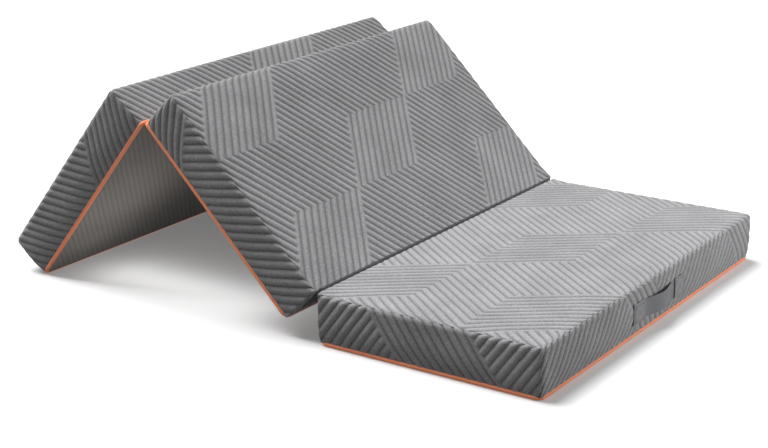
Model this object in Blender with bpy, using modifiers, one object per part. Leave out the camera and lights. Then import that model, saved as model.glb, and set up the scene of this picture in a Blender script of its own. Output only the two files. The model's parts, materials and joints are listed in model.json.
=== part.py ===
"""Folding mattress: three foam panels in ribbed knit covers, standing half folded like a tent with one leaf flat.

The front panel lies flat on the floor. The middle panel leans up from the front panel's top seam. The rear panel
leans back down from the middle panel's bottom seam until its piping rests on the floor. The origin is the middle
of the front panel's underside, X runs along the fold towards the handle, Y along the folds and Z up.
"""

import math

import bmesh
import bpy
from mathutils import Matrix, Vector

# The whole mattress: a panel's length lies between its folds or its piping, the width between the piping
PANEL_LENGTH = 0.6333
MATTRESS_WIDTH = 1.200
PANEL_THICKNESS = 0.140
MIDDLE_LEAN = math.radians(45.0)

# Clearances
GAP = 0.0003
FOLD_CLEARANCE = 0.0004
CUT_OVERRUN = 0.02
CUT_TOLERANCE = 0.00002
CREST_TOLERANCE_SHARE = 0.01

# Cover form
CORNER_RADIUS = 0.016
TOP_EDGE_RADIUS = 0.012
TOP_EDGE_MOST_SHARE = 0.85
CORNER_STEPS = 3
TOP_EDGE_STEPS = 2
CROWN_HEIGHT = 0.004
SIDE_BULGE = 0.006
SEAM_OVERLAP = 0.0015
TOP_DRAW_IN = 0.0015
COVER_TOP_WALL = 0.003

# Ribs of the knit
RIB_SPACING = 0.0347
RIB_DEPTH = 0.0024
RIB_ROW_HEIGHT = 0.2065
ROW_COUNT = 3
RIBS_PER_ROW_LEAN = 4.5
RIBS_PER_BAND = 8
RIBS_PER_REPEAT = 25
BAND_START = 0.399

# Piping and bottom fabric
PIPING_RADIUS = 0.0035
PIPING_LIFT = 0.0004
TOP_FOLD_PIPING_INSET = 0.0045
PIPING_CORNER_RADIUS = 0.016
PIPING_FOLD_CORNER_RADIUS = 0.007
PIPING_CORNER_STEPS = 5
BOTTOM_FABRIC_THICKNESS = 0.002

# Foam
COMFORT_THICKNESS = 0.035
FOAM_CORNER_STEPS = 3

# Fold seams and gussets
GUSSET_THICKNESS = 0.001
GUSSET_HEIGHT = 0.085
FOLD_SEAM_RADIUS = 0.0015
SEAM_END_INSET = 0.014
SEAM_SIDES = 12

# Handle on the front panel's free end
HANDLE_GRIP_SPAN = 0.170
HANDLE_END_LENGTH = 0.058
HANDLE_HEIGHT = 0.050
HANDLE_STRAP_THICKNESS = 0.002
HANDLE_BOW = 0.016
HANDLE_BOW_STEPS = 12
HANDLE_CENTRE_HEIGHT = 0.066
PATCH_MARGIN = 0.003
PATCH_THICKNESS = 0.0012

# Zipper along the far side of each cover
ZIPPER_END_INSET = 0.05665
ZIPPER_RECESS_HEIGHT = 0.016
ZIPPER_RECESS_WALL = 0.0023
ZIPPER_TAPE_THICKNESS = 0.0008
ZIPPER_COIL_HEIGHT = 0.0040
ZIPPER_COIL_THICKNESS = 0.0012
SLIDER_LENGTH = 0.011
SLIDER_HEIGHT = 0.0080
SLIDER_PLATE = 0.0010
SLIDER_LUG = 0.0012
PULL_PIN_RADIUS = 0.0006
PULL_PIN_CLEARANCE = 0.0003
PULL_EYE_WALL = 0.0007
PULL_WIDTH = 0.0044
PULL_LENGTH = 0.024
PULL_PLATE = 0.0010
ROUND_SIDES = 16

# Where each fold's axis lies above a panel's underside
TOP_FOLD_HEIGHT = PANEL_THICKNESS + FOLD_CLEARANCE
BOTTOM_FOLD_HEIGHT = -FOLD_CLEARANCE

# Worked out from the sizes above
HALF_LENGTH = PANEL_LENGTH / 2
HALF_WIDTH = MATTRESS_WIDTH / 2
COVER_HALF_WIDTH = HALF_WIDTH + SIDE_BULGE
FREE_REACH = HALF_LENGTH + SIDE_BULGE
FOLD_REACH = HALF_LENGTH - GAP - GUSSET_THICKNESS - GAP
RIB_SLOPE = RIBS_PER_ROW_LEAN * RIB_SPACING / RIB_ROW_HEIGHT
BAND_WIDTH = RIBS_PER_BAND * RIB_SPACING
REPEAT_WIDTH = RIBS_PER_REPEAT * RIB_SPACING
ROW_STEP = (RIBS_PER_ROW_LEAN + RIBS_PER_BAND) * RIB_SPACING
PIPING_HEIGHT = PIPING_LIFT + PIPING_RADIUS
COVER_BOTTOM = PIPING_HEIGHT + PIPING_RADIUS + GAP
COVER_TOP = PANEL_THICKNESS - CROWN_HEIGHT
EDGE_RADIUS = min(TOP_EDGE_RADIUS, TOP_EDGE_MOST_SHARE * CORNER_RADIUS)
SIDE_TOP = COVER_TOP - EDGE_RADIUS
SIDE_MIDDLE = (COVER_BOTTOM + SIDE_TOP) / 2
FOAM_INSET = 2 * PIPING_RADIUS + GAP
FOAM_CORNER_RADIUS = PIPING_CORNER_RADIUS - PIPING_RADIUS - GAP
CAVITY_TOP = COVER_TOP - RIB_DEPTH - COVER_TOP_WALL
FOAM_BOTTOM = BOTTOM_FABRIC_THICKNESS + GAP
FOAM_TOP = CAVITY_TOP - GAP
FOAM_SPLIT = FOAM_TOP - COMFORT_THICKNESS
ZIPPER_LENGTH = PANEL_LENGTH - 2 * ZIPPER_END_INSET

# Bands of ribs on the four sides of each panel, seen from outside: each band's start from the left end at half
# height and its width, both counted in rib spacings, and the way the band leans, 1 for right going up.
NEAR, FAR, LEFT, RIGHT = "near", "far", "left", "right"
FREE, TOP_FOLD, BOTTOM_FOLD = "free", "top fold", "bottom fold"
USUAL_BAND = ([(6, RIBS_PER_BAND)], 1)
SIDE_BANDS = {
    ("front", NEAR): ([(6, RIBS_PER_BAND)], -1),
    ("front", RIGHT): ([(13.2, 4.5), (31.2, RIBS_PER_BAND)], -1),
    ("middle", NEAR): ([(-4.3, RIBS_PER_BAND)], -1),
    ("rear", NEAR): ([(11.7, RIBS_PER_BAND)], 1),
    ("rear", RIGHT): ([(15, RIBS_PER_BAND)], 1),
}

# Each panel: what its two ends are, the end from which its rows of ribs are counted, and the end at which its
# zipper is closed
PANELS = {
    "front": {LEFT: TOP_FOLD, RIGHT: FREE, "rows_from": LEFT, "down": RIGHT},
    "middle": {LEFT: BOTTOM_FOLD, RIGHT: TOP_FOLD, "rows_from": RIGHT, "down": RIGHT},
    "rear": {LEFT: FREE, RIGHT: BOTTOM_FOLD, "rows_from": RIGHT, "down": LEFT},
}

# By the kind of end: how far the cover reaches from the panel's middle, and how far in the piping's outside lies
REACHES = {FREE: FREE_REACH, TOP_FOLD: FOLD_REACH, BOTTOM_FOLD: FOLD_REACH}
PIPING_INSETS = {FREE: 0.0, TOP_FOLD: TOP_FOLD_PIPING_INSET, BOTTOM_FOLD: PIPING_LIFT}

# Colour, roughness and metallic value of each material
FINISHES = {
    "ribbed_knit": ((0.30, 0.30, 0.31), 0.9, 0.0),
    "bottom_cloth": ((0.25, 0.23, 0.22), 0.9, 0.0),
    "orange_piping": ((0.95, 0.32, 0.12), 0.7, 0.0),
    "seam_binding": ((0.10, 0.10, 0.11), 0.9, 0.0),
    "base_foam": ((0.80, 0.80, 0.76), 0.95, 0.0),
    "comfort_foam": ((0.55, 0.68, 0.78), 0.95, 0.0),
    "strap_webbing": ((0.15, 0.15, 0.17), 0.7, 0.0),
    "zipper_tape": ((0.05, 0.05, 0.055), 0.7, 0.0),
    "zipper_metal": ((0.35, 0.35, 0.37), 0.35, 1.0),
}


def end_sign(end):
    """-1 for the panel's left end and 1 for its right end."""
    return -1 if end == LEFT else 1


def end_at(point):
    """The end of the panel on whose half a point lies."""
    return LEFT if point.x < 0 else RIGHT


def piping_insets(panel):
    """How far in the piping's outside lies at the panel's left and right ends."""
    return [PIPING_INSETS[PANELS[panel][end]] for end in (LEFT, RIGHT)]


def rear_lean():
    """The rear panel's lean from the floor, at which its far piping just rests on it."""
    ridge_height = TOP_FOLD_HEIGHT * (1 - math.cos(MIDDLE_LEAN)) + PANEL_LENGTH * math.sin(MIDDLE_LEAN)
    ridge_height += BOTTOM_FOLD_HEIGHT * math.cos(MIDDLE_LEAN)
    reach = PANEL_LENGTH - PIPING_INSETS[FREE] - PIPING_RADIUS
    rise = PIPING_HEIGHT - BOTTOM_FOLD_HEIGHT
    return math.atan2(rise, reach) + math.asin((ridge_height - PIPING_RADIUS) / math.hypot(reach, rise))


def material(name):
    """The named material, made the first time that it is asked for."""
    if name in bpy.data.materials:
        return bpy.data.materials[name]
    colour, roughness, metallic = FINISHES[name]
    made = bpy.data.materials.new(name)
    made.use_nodes = True
    shader = made.node_tree.nodes["Principled BSDF"]
    shader.inputs["Base Color"].default_value = (*colour, 1.0)
    shader.inputs["Roughness"].default_value = roughness
    shader.inputs["Metallic"].default_value = metallic
    made.diffuse_color = (*colour, 1.0)
    return made


def clear_scene():
    for obj in list(bpy.data.objects):
        bpy.data.objects.remove(obj, do_unlink=True)


def collection(name):
    made = bpy.data.collections.new(name)
    bpy.context.scene.collection.children.link(made)
    return made


def add_object(name, data, parent, place, finish=None):
    """Adds an object for a piece, under its panel's or joint's empty."""
    obj = bpy.data.objects.new(name, data)
    obj.parent = parent
    obj.location = place
    if finish:
        data.materials.append(material(finish))
        PARTS.objects.link(obj)
    else:
        CUTTERS.objects.link(obj)
        obj.hide_render = True
        obj.display_type = "WIRE"
    return obj


def add_empty(name, parent, place, turn=0.0):
    """An empty on a joint's axis, turned about Y."""
    empty = bpy.data.objects.new(name, None)
    empty.parent = parent
    empty.location = place
    empty.rotation_euler = (0.0, turn, 0.0)
    empty.empty_display_size = PIPING_CORNER_RADIUS
    PARTS.objects.link(empty)
    return empty


def mesh_of(bm, name):
    mesh = bpy.data.meshes.new(name)
    bm.normal_update()
    bm.to_mesh(mesh)
    bm.free()
    return mesh


def block(bm, low, high):
    """Adds a box between two corners and gives back its vertices."""
    size = Vector(high) - Vector(low)
    centre = (Vector(high) + Vector(low)) / 2
    made = bmesh.ops.create_cube(bm, size=1.0)
    bmesh.ops.scale(bm, vec=size, verts=made["verts"])
    bmesh.ops.translate(bm, vec=centre, verts=made["verts"])
    return made["verts"]


def round_edges(bm, edges, radius, steps):
    bmesh.ops.bevel(
        bm, geom=edges, offset=radius, offset_type="OFFSET", segments=steps, profile=0.5, affect="EDGES"
    )


def upright_edges(bm, sign_x=0):
    """The vertical edges of a block, at both ends or at the end that sign_x names."""
    found = []
    for edge in bm.edges:
        first, second = edge.verts
        if abs(first.co.z - second.co.z) < abs(first.co.x - second.co.x) + abs(first.co.y - second.co.y):
            continue
        if sign_x * first.co.x >= 0:
            found.append(edge)
    return found


def add_cut(target, cutter, operation="DIFFERENCE"):
    cut = target.modifiers.new(cutter.name, "BOOLEAN")
    cut.operation = operation
    cut.object = cutter
    cut.solver = "EXACT"


def plan_outline(insets, side_inset, radii, steps):
    """A rounded rectangle's points in plan, from the insets and corner radii at the left and right ends."""
    half = HALF_WIDTH - side_inset
    points = []
    for sign_x, sign_y in ((1, -1), (1, 1), (-1, 1), (-1, -1)):
        which = 0 if sign_x < 0 else 1
        radius = radii[which]
        centre_x = sign_x * (HALF_LENGTH - insets[which] - radius)
        centre_y = sign_y * (half - radius)
        first = {(1, -1): -math.pi / 2, (1, 1): 0.0, (-1, 1): math.pi / 2, (-1, -1): math.pi}[sign_x, sign_y]
        for step in range(steps + 1):
            angle = first + math.pi / 2 * step / steps
            points.append((centre_x + radius * math.cos(angle), centre_y + radius * math.sin(angle)))
    return points


def closed_curve(name, points, height):
    data = bpy.data.curves.new(name, "CURVE")
    spline = data.splines.new("POLY")
    spline.points.add(len(points) - 1)
    for point, (x, y) in zip(spline.points, points):
        point.co = (x, y, height, 1.0)
    spline.use_cyclic_u = True
    return data


# Ribs


def ridge(turns):
    """1 on a rib's crest and 0 in the groove beside it, with straight flanks between them."""
    return abs(2 * (turns - math.floor(turns)) - 1)


class RibField:
    """Ribs on one flat stretch of cover. Bands lean one way, the ribs between them lean the other way."""

    def __init__(self, origin, across, up, bands, lean):
        self.origin = Vector(origin)
        self.across = Vector(across)
        self.up = Vector(up)
        self.bands = bands
        self.lean = lean

    def place(self, point):
        """A point's distance across and up the field."""
        offset = Vector(point) - self.origin
        return offset.dot(self.across), offset.dot(self.up)

    def band_at(self, across, up):
        """The band that holds a place, or None between bands and on their edges."""
        for band in self.bands:
            start, width = band
            inside = across - start - self.lean * RIB_SLOPE * up
            if CUT_TOLERANCE < inside < width - CUT_TOLERANCE:
                return band
        return None

    def height(self, point):
        """The rib's height at a point, from 0 to 1."""
        across, up = self.place(point)
        band = self.band_at(across, up)
        if band:
            return ridge((across - band[0] - self.lean * RIB_SLOPE * up) / RIB_SPACING)
        return ridge((across - self.bands[0][0] + self.lean * RIB_SLOPE * up) / RIB_SPACING)

    def cut(self, bm, geom, start, lean):
        """Cuts faces along the slanting line that passes the field's base line at start."""
        line = self.across * (lean * RIB_SLOPE) + self.up
        normal = line.cross(self.across.cross(self.up))
        done = bmesh.ops.bisect_plane(
            bm, geom=geom, dist=CUT_TOLERANCE, plane_co=self.origin + self.across * start, plane_no=normal
        )
        return done["geom"]

    def middle(self, face):
        return self.place(face.calc_center_median())

    def cut_family(self, bm, faces, start, lean):
        """Cuts faces along every crest and groove of one family of parallel ribs."""
        if not faces:
            return
        spots = [self.place(vert.co) for face in faces for vert in face.verts]
        starts = [across - lean * RIB_SLOPE * up for across, up in spots]
        half = RIB_SPACING / 2
        first = math.floor((min(starts) - start) / half) + 1
        last = math.ceil((max(starts) - start) / half)
        geom = geometry(faces)
        for count in range(first, last):
            geom = self.cut(bm, geom, start + count * half, lean)

    def cut_ribs(self, bm, faces):
        """Cuts the field's faces along its bands' edges, then along all of its ribs."""
        geom = geometry(faces)
        for start, width in self.bands:
            for edge in (start, start + width):
                geom = self.cut(bm, geom, edge, self.lean)
        groups = {}
        for face in geom:
            if isinstance(face, bmesh.types.BMFace):
                groups.setdefault(self.band_at(*self.middle(face)), []).append(face)
        for band, group in groups.items():
            if band:
                self.cut_family(bm, group, band[0], self.lean)
            else:
                self.cut_family(bm, group, self.bands[0][0], -self.lean)


def geometry(faces):
    """The faces with their edges and vertices, as a cut needs them."""
    parts = list(faces)
    parts += {edge for face in faces for edge in face.edges}
    parts += {vert for face in faces for vert in face.verts}
    return parts


def row_field(row, rows_from):
    """The ribs of one row on the panel's top, counted from the end that rows_from names."""
    sign = end_sign(rows_from)
    first = BAND_START + (row - 1) * ROW_STEP
    repeats = range(-2, 3)
    bands = [(first + repeat * REPEAT_WIDTH, BAND_WIDTH) for repeat in repeats]
    origin = (sign * (HALF_LENGTH - row * RIB_ROW_HEIGHT), -COVER_HALF_WIDTH, COVER_TOP)
    return RibField(origin, (0, 1, 0), (-sign, 0, 0), bands, 1)


def side_fields(panel):
    """The ribs of the panel's sides, by side. The end behind the top fold's gusset has none."""
    frames = {
        NEAR: ((-HALF_LENGTH, -HALF_WIDTH), (1, 0, 0)),
        RIGHT: ((HALF_LENGTH, -HALF_WIDTH), (0, 1, 0)),
        FAR: ((HALF_LENGTH, HALF_WIDTH), (-1, 0, 0)),
        LEFT: ((-HALF_LENGTH, HALF_WIDTH), (0, -1, 0)),
    }
    fields = {}
    for side, ((x, y), across) in frames.items():
        if PANELS[panel].get(side) == TOP_FOLD:
            continue
        counts, lean = SIDE_BANDS.get((panel, side), USUAL_BAND)
        bands = [(start * RIB_SPACING, width * RIB_SPACING) for start, width in counts]
        fields[side] = RibField((x, y, SIDE_MIDDLE), across, (0, 0, 1), bands, lean)
    return fields


def side_of(panel, point):
    """The flat side that a point of the uncut cover lies on, or None on a corner or the top."""
    if point.z > SIDE_TOP + CUT_TOLERANCE:
        return None
    end = end_at(point)
    if REACHES[PANELS[panel][end]] - abs(point.x) < CUT_TOLERANCE:
        return end
    if COVER_HALF_WIDTH - abs(point.y) < CUT_TOLERANCE:
        return FAR if point.y > 0 else NEAR
    return None


def row_of(point, rows_from):
    distance = HALF_LENGTH - end_sign(rows_from) * point.x
    return min(max(int(distance / RIB_ROW_HEIGHT), 0), ROW_COUNT - 1)


def side_draw(height, bottom_draw):
    """How far a side is drawn in at a height: full at the bottom seam, none at half height, a little at the top."""
    if height < SIDE_MIDDLE:
        share = (SIDE_MIDDLE - height) / (SIDE_MIDDLE - COVER_BOTTOM)
        return bottom_draw * share**2
    share = min((height - SIDE_MIDDLE) / (SIDE_TOP - SIDE_MIDDLE), 1.0)
    return TOP_DRAW_IN * share**2


def shaped(panel, point, height):
    """The finished place of a point of the plain block: sides drawn in, top crowned, grooves sunk."""
    kind = PANELS[panel][end_at(point)]
    reach = REACHES[kind]
    out_x = max(abs(point.x) - (reach - CORNER_RADIUS), 0.0) / CORNER_RADIUS
    out_y = max(abs(point.y) - (COVER_HALF_WIDTH - CORNER_RADIUS), 0.0) / CORNER_RADIUS
    end_draw = max(reach - (HALF_LENGTH - PIPING_INSETS[kind]) + SEAM_OVERLAP, 0.0)
    sink = RIB_DEPTH * (1 - height)
    on_top = point.z > COVER_TOP - CUT_TOLERANCE
    side_sink = 0.0 if on_top else sink
    moved = Vector(point)
    moved.x -= math.copysign(out_x * (side_draw(point.z, end_draw) + side_sink), point.x)
    moved.y -= math.copysign(out_y * (side_draw(point.z, SIDE_BULGE + SEAM_OVERLAP) + side_sink), point.y)
    if point.z > SIDE_TOP - CUT_TOLERANCE:
        across_x = 1 - (point.x / reach) ** 2
        across_y = 1 - (point.y / COVER_HALF_WIDTH) ** 2
        moved.z += CROWN_HEIGHT * across_x * across_y
    if on_top:
        moved.z -= sink
    return moved


def plain_block(panel):
    """The cover's outside before its ribs are cut: a block with round corners and a round top edge."""
    left, right = (REACHES[PANELS[panel][end]] for end in (LEFT, RIGHT))
    bm = bmesh.new()
    block(bm, (-left, -COVER_HALF_WIDTH, COVER_BOTTOM), (right, COVER_HALF_WIDTH, COVER_TOP))
    round_edges(bm, upright_edges(bm), CORNER_RADIUS, CORNER_STEPS)
    rim = [edge for edge in bm.edges if all(vert.co.z > COVER_TOP - CUT_TOLERANCE for vert in edge.verts)]
    round_edges(bm, rim, EDGE_RADIUS, TOP_EDGE_STEPS)
    return bm


def split_bulge(bm, panel, rib_height):
    """Adds a point at half height, where a side is widest, to each upright edge and each crest that climbs a side."""
    for edge in list(bm.edges):
        low, high = sorted((vert.co for vert in edge.verts), key=lambda place: place.z)
        if low.z > SIDE_MIDDLE - CUT_TOLERANCE or high.z < SIDE_MIDDLE + CUT_TOLERANCE:
            continue
        crest = min(rib_height(low), rib_height(high)) > 1 - CREST_TOLERANCE_SHARE
        upright = (high - low).xy.length < CUT_TOLERANCE
        at_fold = PANELS[panel].get(side_of(panel, low)) == BOTTOM_FOLD
        if upright or (crest and not at_fold):
            first = edge.verts[0]
            climb = edge.other_vert(first).co.z - first.co.z
            bmesh.utils.edge_split(edge, first, (SIDE_MIDDLE - first.co.z) / climb)


def cover_mesh(panel):
    """The ribbed cover's outside as one closed mesh."""
    rows_from = PANELS[panel]["rows_from"]
    bm = plain_block(panel)
    rows = [row_field(row, rows_from) for row in range(ROW_COUNT)]
    sides = side_fields(panel)

    def rib_height(point):
        if point.z > COVER_TOP - CUT_TOLERANCE:
            return rows[row_of(point, rows_from)].height(point)
        side = side_of(panel, point)
        return sides[side].height(point) if side in sides else 1.0

    top = [face for face in bm.faces if face.calc_center_median().z > COVER_TOP - CUT_TOLERANCE]
    geom = geometry(top)
    for field in rows[1:]:
        done = bmesh.ops.bisect_plane(
            bm, geom=geom, dist=CUT_TOLERANCE, plane_co=field.origin, plane_no=field.up
        )
        geom = done["geom"]
    top = [face for face in geom if isinstance(face, bmesh.types.BMFace)]
    for row, field in enumerate(rows):
        field.cut_ribs(bm, [face for face in top if row_of(face.calc_center_median(), rows_from) == row])
    for side, field in sides.items():
        faces = [face for face in bm.faces if all(side_of(panel, vert.co) == side for vert in face.verts)]
        field.cut_ribs(bm, faces)
    split_bulge(bm, panel, rib_height)
    faces = [face for face in bm.faces if face.calc_center_median().z > COVER_BOTTOM + CUT_TOLERANCE]
    bmesh.ops.triangulate(bm, faces=faces)
    for vert in bm.verts:
        vert.co = shaped(panel, vert.co, rib_height(vert.co))
    return mesh_of(bm, panel + "_cover")


def foam_block(name, panel, margin, low_z, high_z):
    """A block with round corners in plan, inside the piping: the foam, or with a margin the hollow that holds it."""
    inset = FOAM_INSET - margin
    left, right = (HALF_LENGTH - inset - piping for piping in piping_insets(panel))
    half = HALF_WIDTH - inset
    bm = bmesh.new()
    block(bm, (-left, -half, low_z), (right, half, high_z))
    round_edges(bm, upright_edges(bm), FOAM_CORNER_RADIUS + margin, FOAM_CORNER_STEPS)
    return mesh_of(bm, name)


def add_cover(panel, frame, shift):
    """The ribbed knit cover: a shell over the top and sides, open below, with a sunk strip for its zipper."""
    cover = add_object(panel + "_cover", cover_mesh(panel), frame, shift, "ribbed_knit")
    name = panel + "_cover_hollow"
    hollow = foam_block(name, panel, GAP, COVER_BOTTOM - CUT_OVERRUN, CAVITY_TOP)
    add_cut(cover, add_object(name, hollow, frame, shift))
    name = panel + "_zipper_recess"
    bm = bmesh.new()
    block(
        bm,
        (-ZIPPER_LENGTH / 2, ZIPPER_FLOOR, COVER_BOTTOM - CUT_OVERRUN),
        (ZIPPER_LENGTH / 2, COVER_HALF_WIDTH + CUT_OVERRUN, COVER_BOTTOM + ZIPPER_RECESS_HEIGHT),
    )
    add_cut(cover, add_object(name, mesh_of(bm, name), frame, shift))


def add_foam(panel, frame, shift):
    """The firm base foam and the softer comfort foam that lies on it."""
    for name, low, high in (("base_foam", FOAM_BOTTOM, FOAM_SPLIT), ("comfort_foam", FOAM_SPLIT + GAP, FOAM_TOP)):
        foam = foam_block(panel + "_" + name, panel, 0.0, low, high)
        add_object(panel + "_" + name, foam, frame, shift, name)


def add_bottom(panel, frame, shift):
    """The flat bottom fabric and the round piping sewn round its edge."""
    insets = piping_insets(panel)
    kinds = [PANELS[panel][end] for end in (LEFT, RIGHT)]
    radii = [PIPING_FOLD_CORNER_RADIUS if kind == BOTTOM_FOLD else PIPING_CORNER_RADIUS for kind in kinds]
    line = plan_outline([inset + PIPING_RADIUS for inset in insets], PIPING_RADIUS, radii, PIPING_CORNER_STEPS)
    piping = closed_curve(panel + "_piping", line, PIPING_HEIGHT)
    piping.dimensions = "3D"
    piping.bevel_depth = PIPING_RADIUS
    piping.bevel_resolution = 2
    add_object(panel + "_piping", piping, frame, shift, "orange_piping")
    inside = plan_outline(
        [inset + 2 * PIPING_RADIUS for inset in insets],
        2 * PIPING_RADIUS,
        [radius - PIPING_RADIUS for radius in radii],
        PIPING_CORNER_STEPS,
    )
    fabric = closed_curve(panel + "_bottom_fabric", inside, 0.0)
    fabric.dimensions = "2D"
    fabric.fill_mode = "BOTH"
    fabric.extrude = BOTTOM_FABRIC_THICKNESS / 2
    middle = Vector((0, 0, BOTTOM_FABRIC_THICKNESS / 2))
    add_object(panel + "_bottom_fabric", fabric, frame, Vector(shift) + middle, "bottom_cloth")


def add_round_bar(name, centre, length, radius, frame, finish):
    """A round bar along Y, made with its origin on its own axis."""
    bm = bmesh.new()
    turn = Matrix.Rotation(math.pi / 2, 4, "X")
    bmesh.ops.create_cone(
        bm, cap_ends=True, segments=SEAM_SIDES, radius1=radius, radius2=radius, depth=length, matrix=turn
    )
    return add_object(name, mesh_of(bm, name), frame, centre, finish)


def add_gusset(name, end, frame, shift):
    """The cloth strip that the seam of the top fold is sewn to, flat against the panel's fold end."""
    top = TOP_FOLD_HEIGHT - FOLD_SEAM_RADIUS - GAP
    outer = end_sign(end) * (HALF_LENGTH - GAP)
    inner = end_sign(end) * (HALF_LENGTH - GAP - GUSSET_THICKNESS)
    half = HALF_WIDTH - SEAM_END_INSET
    bm = bmesh.new()
    block(bm, (min(outer, inner), -half, top - GUSSET_HEIGHT), (max(outer, inner), half, top))
    add_object(name, mesh_of(bm, name), frame, shift, "seam_binding")


def add_fold_seams(frames):
    """The round sewn seams on the two fold axes, and the top fold's gussets."""
    length = MATTRESS_WIDTH - 2 * SEAM_END_INSET
    place = (-HALF_LENGTH, 0.0, TOP_FOLD_HEIGHT)
    add_round_bar("front_fold_seam", place, length, FOLD_SEAM_RADIUS, frames["front"][0], "seam_binding")
    add_gusset("front_fold_gusset_front", LEFT, *frames["front"])
    add_gusset("front_fold_gusset_middle", RIGHT, *frames["middle"])
    across = PIPING_LIFT + PIPING_RADIUS
    radius = math.hypot(across, PIPING_HEIGHT - BOTTOM_FOLD_HEIGHT) - PIPING_RADIUS - GAP
    length = MATTRESS_WIDTH - 2 * (PIPING_RADIUS + PIPING_FOLD_CORNER_RADIUS)
    frame, shift = frames["middle"]
    place = Vector(shift) + Vector((-HALF_LENGTH, 0.0, BOTTOM_FOLD_HEIGHT))
    add_round_bar("rear_fold_seam", place, length, radius, frame, "orange_piping")


# Handle


def strap_path():
    """The strap's inner face in plan, from one flat end over the bow to the other: distance along Y, and out in X."""
    half = HANDLE_GRIP_SPAN / 2
    path = [(-half - HANDLE_END_LENGTH, 0.0)]
    for step in range(HANDLE_BOW_STEPS + 1):
        share = 2 * step / HANDLE_BOW_STEPS - 1
        path.append((half * share, HANDLE_BOW * math.cos(math.pi / 2 * share) ** 2))
    path.append((half + HANDLE_END_LENGTH, 0.0))
    return path


def add_handle(frame, shift):
    """A webbing strap bowed out for the fingers, with its ends sewn under two patches."""
    out = FREE_REACH + GAP
    low = HANDLE_CENTRE_HEIGHT - HANDLE_HEIGHT / 2
    high = HANDLE_CENTRE_HEIGHT + HANDLE_HEIGHT / 2
    bm = bmesh.new()
    path = strap_path()
    lower = [bm.verts.new((out + bow, y, low)) for y, bow in path]
    edges = [bm.edges.new(pair) for pair in zip(lower, lower[1:])]
    grown = bmesh.ops.extrude_edge_only(bm, edges=edges)
    raised = [part for part in grown["geom"] if isinstance(part, bmesh.types.BMVert)]
    bmesh.ops.translate(bm, vec=(0, 0, high - low), verts=raised)
    bmesh.ops.recalc_face_normals(bm, faces=bm.faces)
    bm.normal_update()
    if sum(face.normal.x for face in bm.faces) < 0:
        bmesh.ops.reverse_faces(bm, faces=bm.faces)
    strap = add_object("handle_strap", mesh_of(bm, "handle_strap"), frame, shift, "strap_webbing")
    thicken = strap.modifiers.new("thickness", "SOLIDIFY")
    thicken.thickness = HANDLE_STRAP_THICKNESS
    thicken.offset = 1.0
    thicken.use_even_offset = True
    patch_in = out + HANDLE_STRAP_THICKNESS + GAP
    for name, sign in (("handle_patch_left", -1), ("handle_patch_right", 1)):
        inner = sign * (HANDLE_GRIP_SPAN / 2 + PATCH_MARGIN)
        outer = sign * (HANDLE_GRIP_SPAN / 2 + HANDLE_END_LENGTH + PATCH_MARGIN)
        bm = bmesh.new()
        block(
            bm,
            (patch_in, min(inner, outer), low - PATCH_MARGIN),
            (patch_in + PATCH_THICKNESS, max(inner, outer), high + PATCH_MARGIN),
        )
        add_object(name, mesh_of(bm, name), frame, shift, "strap_webbing")


# Zipper: inward faces are at smaller Y, because it runs along the panel's far side

ZIPPER_FLOOR = HALF_WIDTH - FOAM_INSET + GAP + ZIPPER_RECESS_WALL
TAPE_IN = ZIPPER_FLOOR + GAP
TAPE_OUT = TAPE_IN + ZIPPER_TAPE_THICKNESS
COIL_OUT = TAPE_OUT + ZIPPER_COIL_THICKNESS
PLATE_IN = COIL_OUT + GAP
PLATE_OUT = PLATE_IN + SLIDER_PLATE
EYE_RADIUS = PULL_PIN_RADIUS + PULL_PIN_CLEARANCE + PULL_EYE_WALL
PIN_OUT = PLATE_OUT + GAP + EYE_RADIUS
ZIPPER_MIDDLE = COVER_BOTTOM + ZIPPER_RECESS_HEIGHT / 2


def add_zipper_tape(panel, frame, shift):
    """The zipper's tape with its closed coil down the middle, lying in the cover's sunk strip."""
    half = ZIPPER_LENGTH / 2 - GAP
    bm = bmesh.new()
    high = COVER_BOTTOM + ZIPPER_RECESS_HEIGHT - GAP
    block(bm, (-half, TAPE_IN, COVER_BOTTOM), (half, TAPE_OUT, high))
    tape = add_object(panel + "_zipper_tape", mesh_of(bm, panel + "_zipper_tape"), frame, shift, "zipper_tape")
    name = panel + "_zipper_coil"
    bm = bmesh.new()
    coil_half = ZIPPER_COIL_HEIGHT / 2
    block(
        bm,
        (-half + SLIDER_LENGTH / 2, (TAPE_IN + TAPE_OUT) / 2, ZIPPER_MIDDLE - coil_half),
        (half - SLIDER_LENGTH / 2, COIL_OUT, ZIPPER_MIDDLE + coil_half),
    )
    add_cut(tape, add_object(name, mesh_of(bm, name), frame, shift), "UNION")


def slider_start(panel):
    """Where a closed slider stands along X: near the panel's lower end, with its pull still in the sunk strip."""
    return end_sign(PANELS[panel]["down"]) * (ZIPPER_LENGTH / 2 - PULL_LENGTH - SLIDER_LENGTH / 2)


def upright_pin(bm, x, y, low, high, radius):
    """Adds an upright round pin and gives back its vertices."""
    place = Matrix.Translation((x, y, (low + high) / 2))
    made = bmesh.ops.create_cone(
        bm, cap_ends=True, segments=ROUND_SIDES, radius1=radius, radius2=radius, depth=high - low, matrix=place
    )
    return made["verts"]


def helper(name, bm, parent):
    """A hidden shape, in the same place as the piece that it is joined to or cut from."""
    return add_object(name, mesh_of(bm, name), parent, (0, 0, 0))


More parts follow.
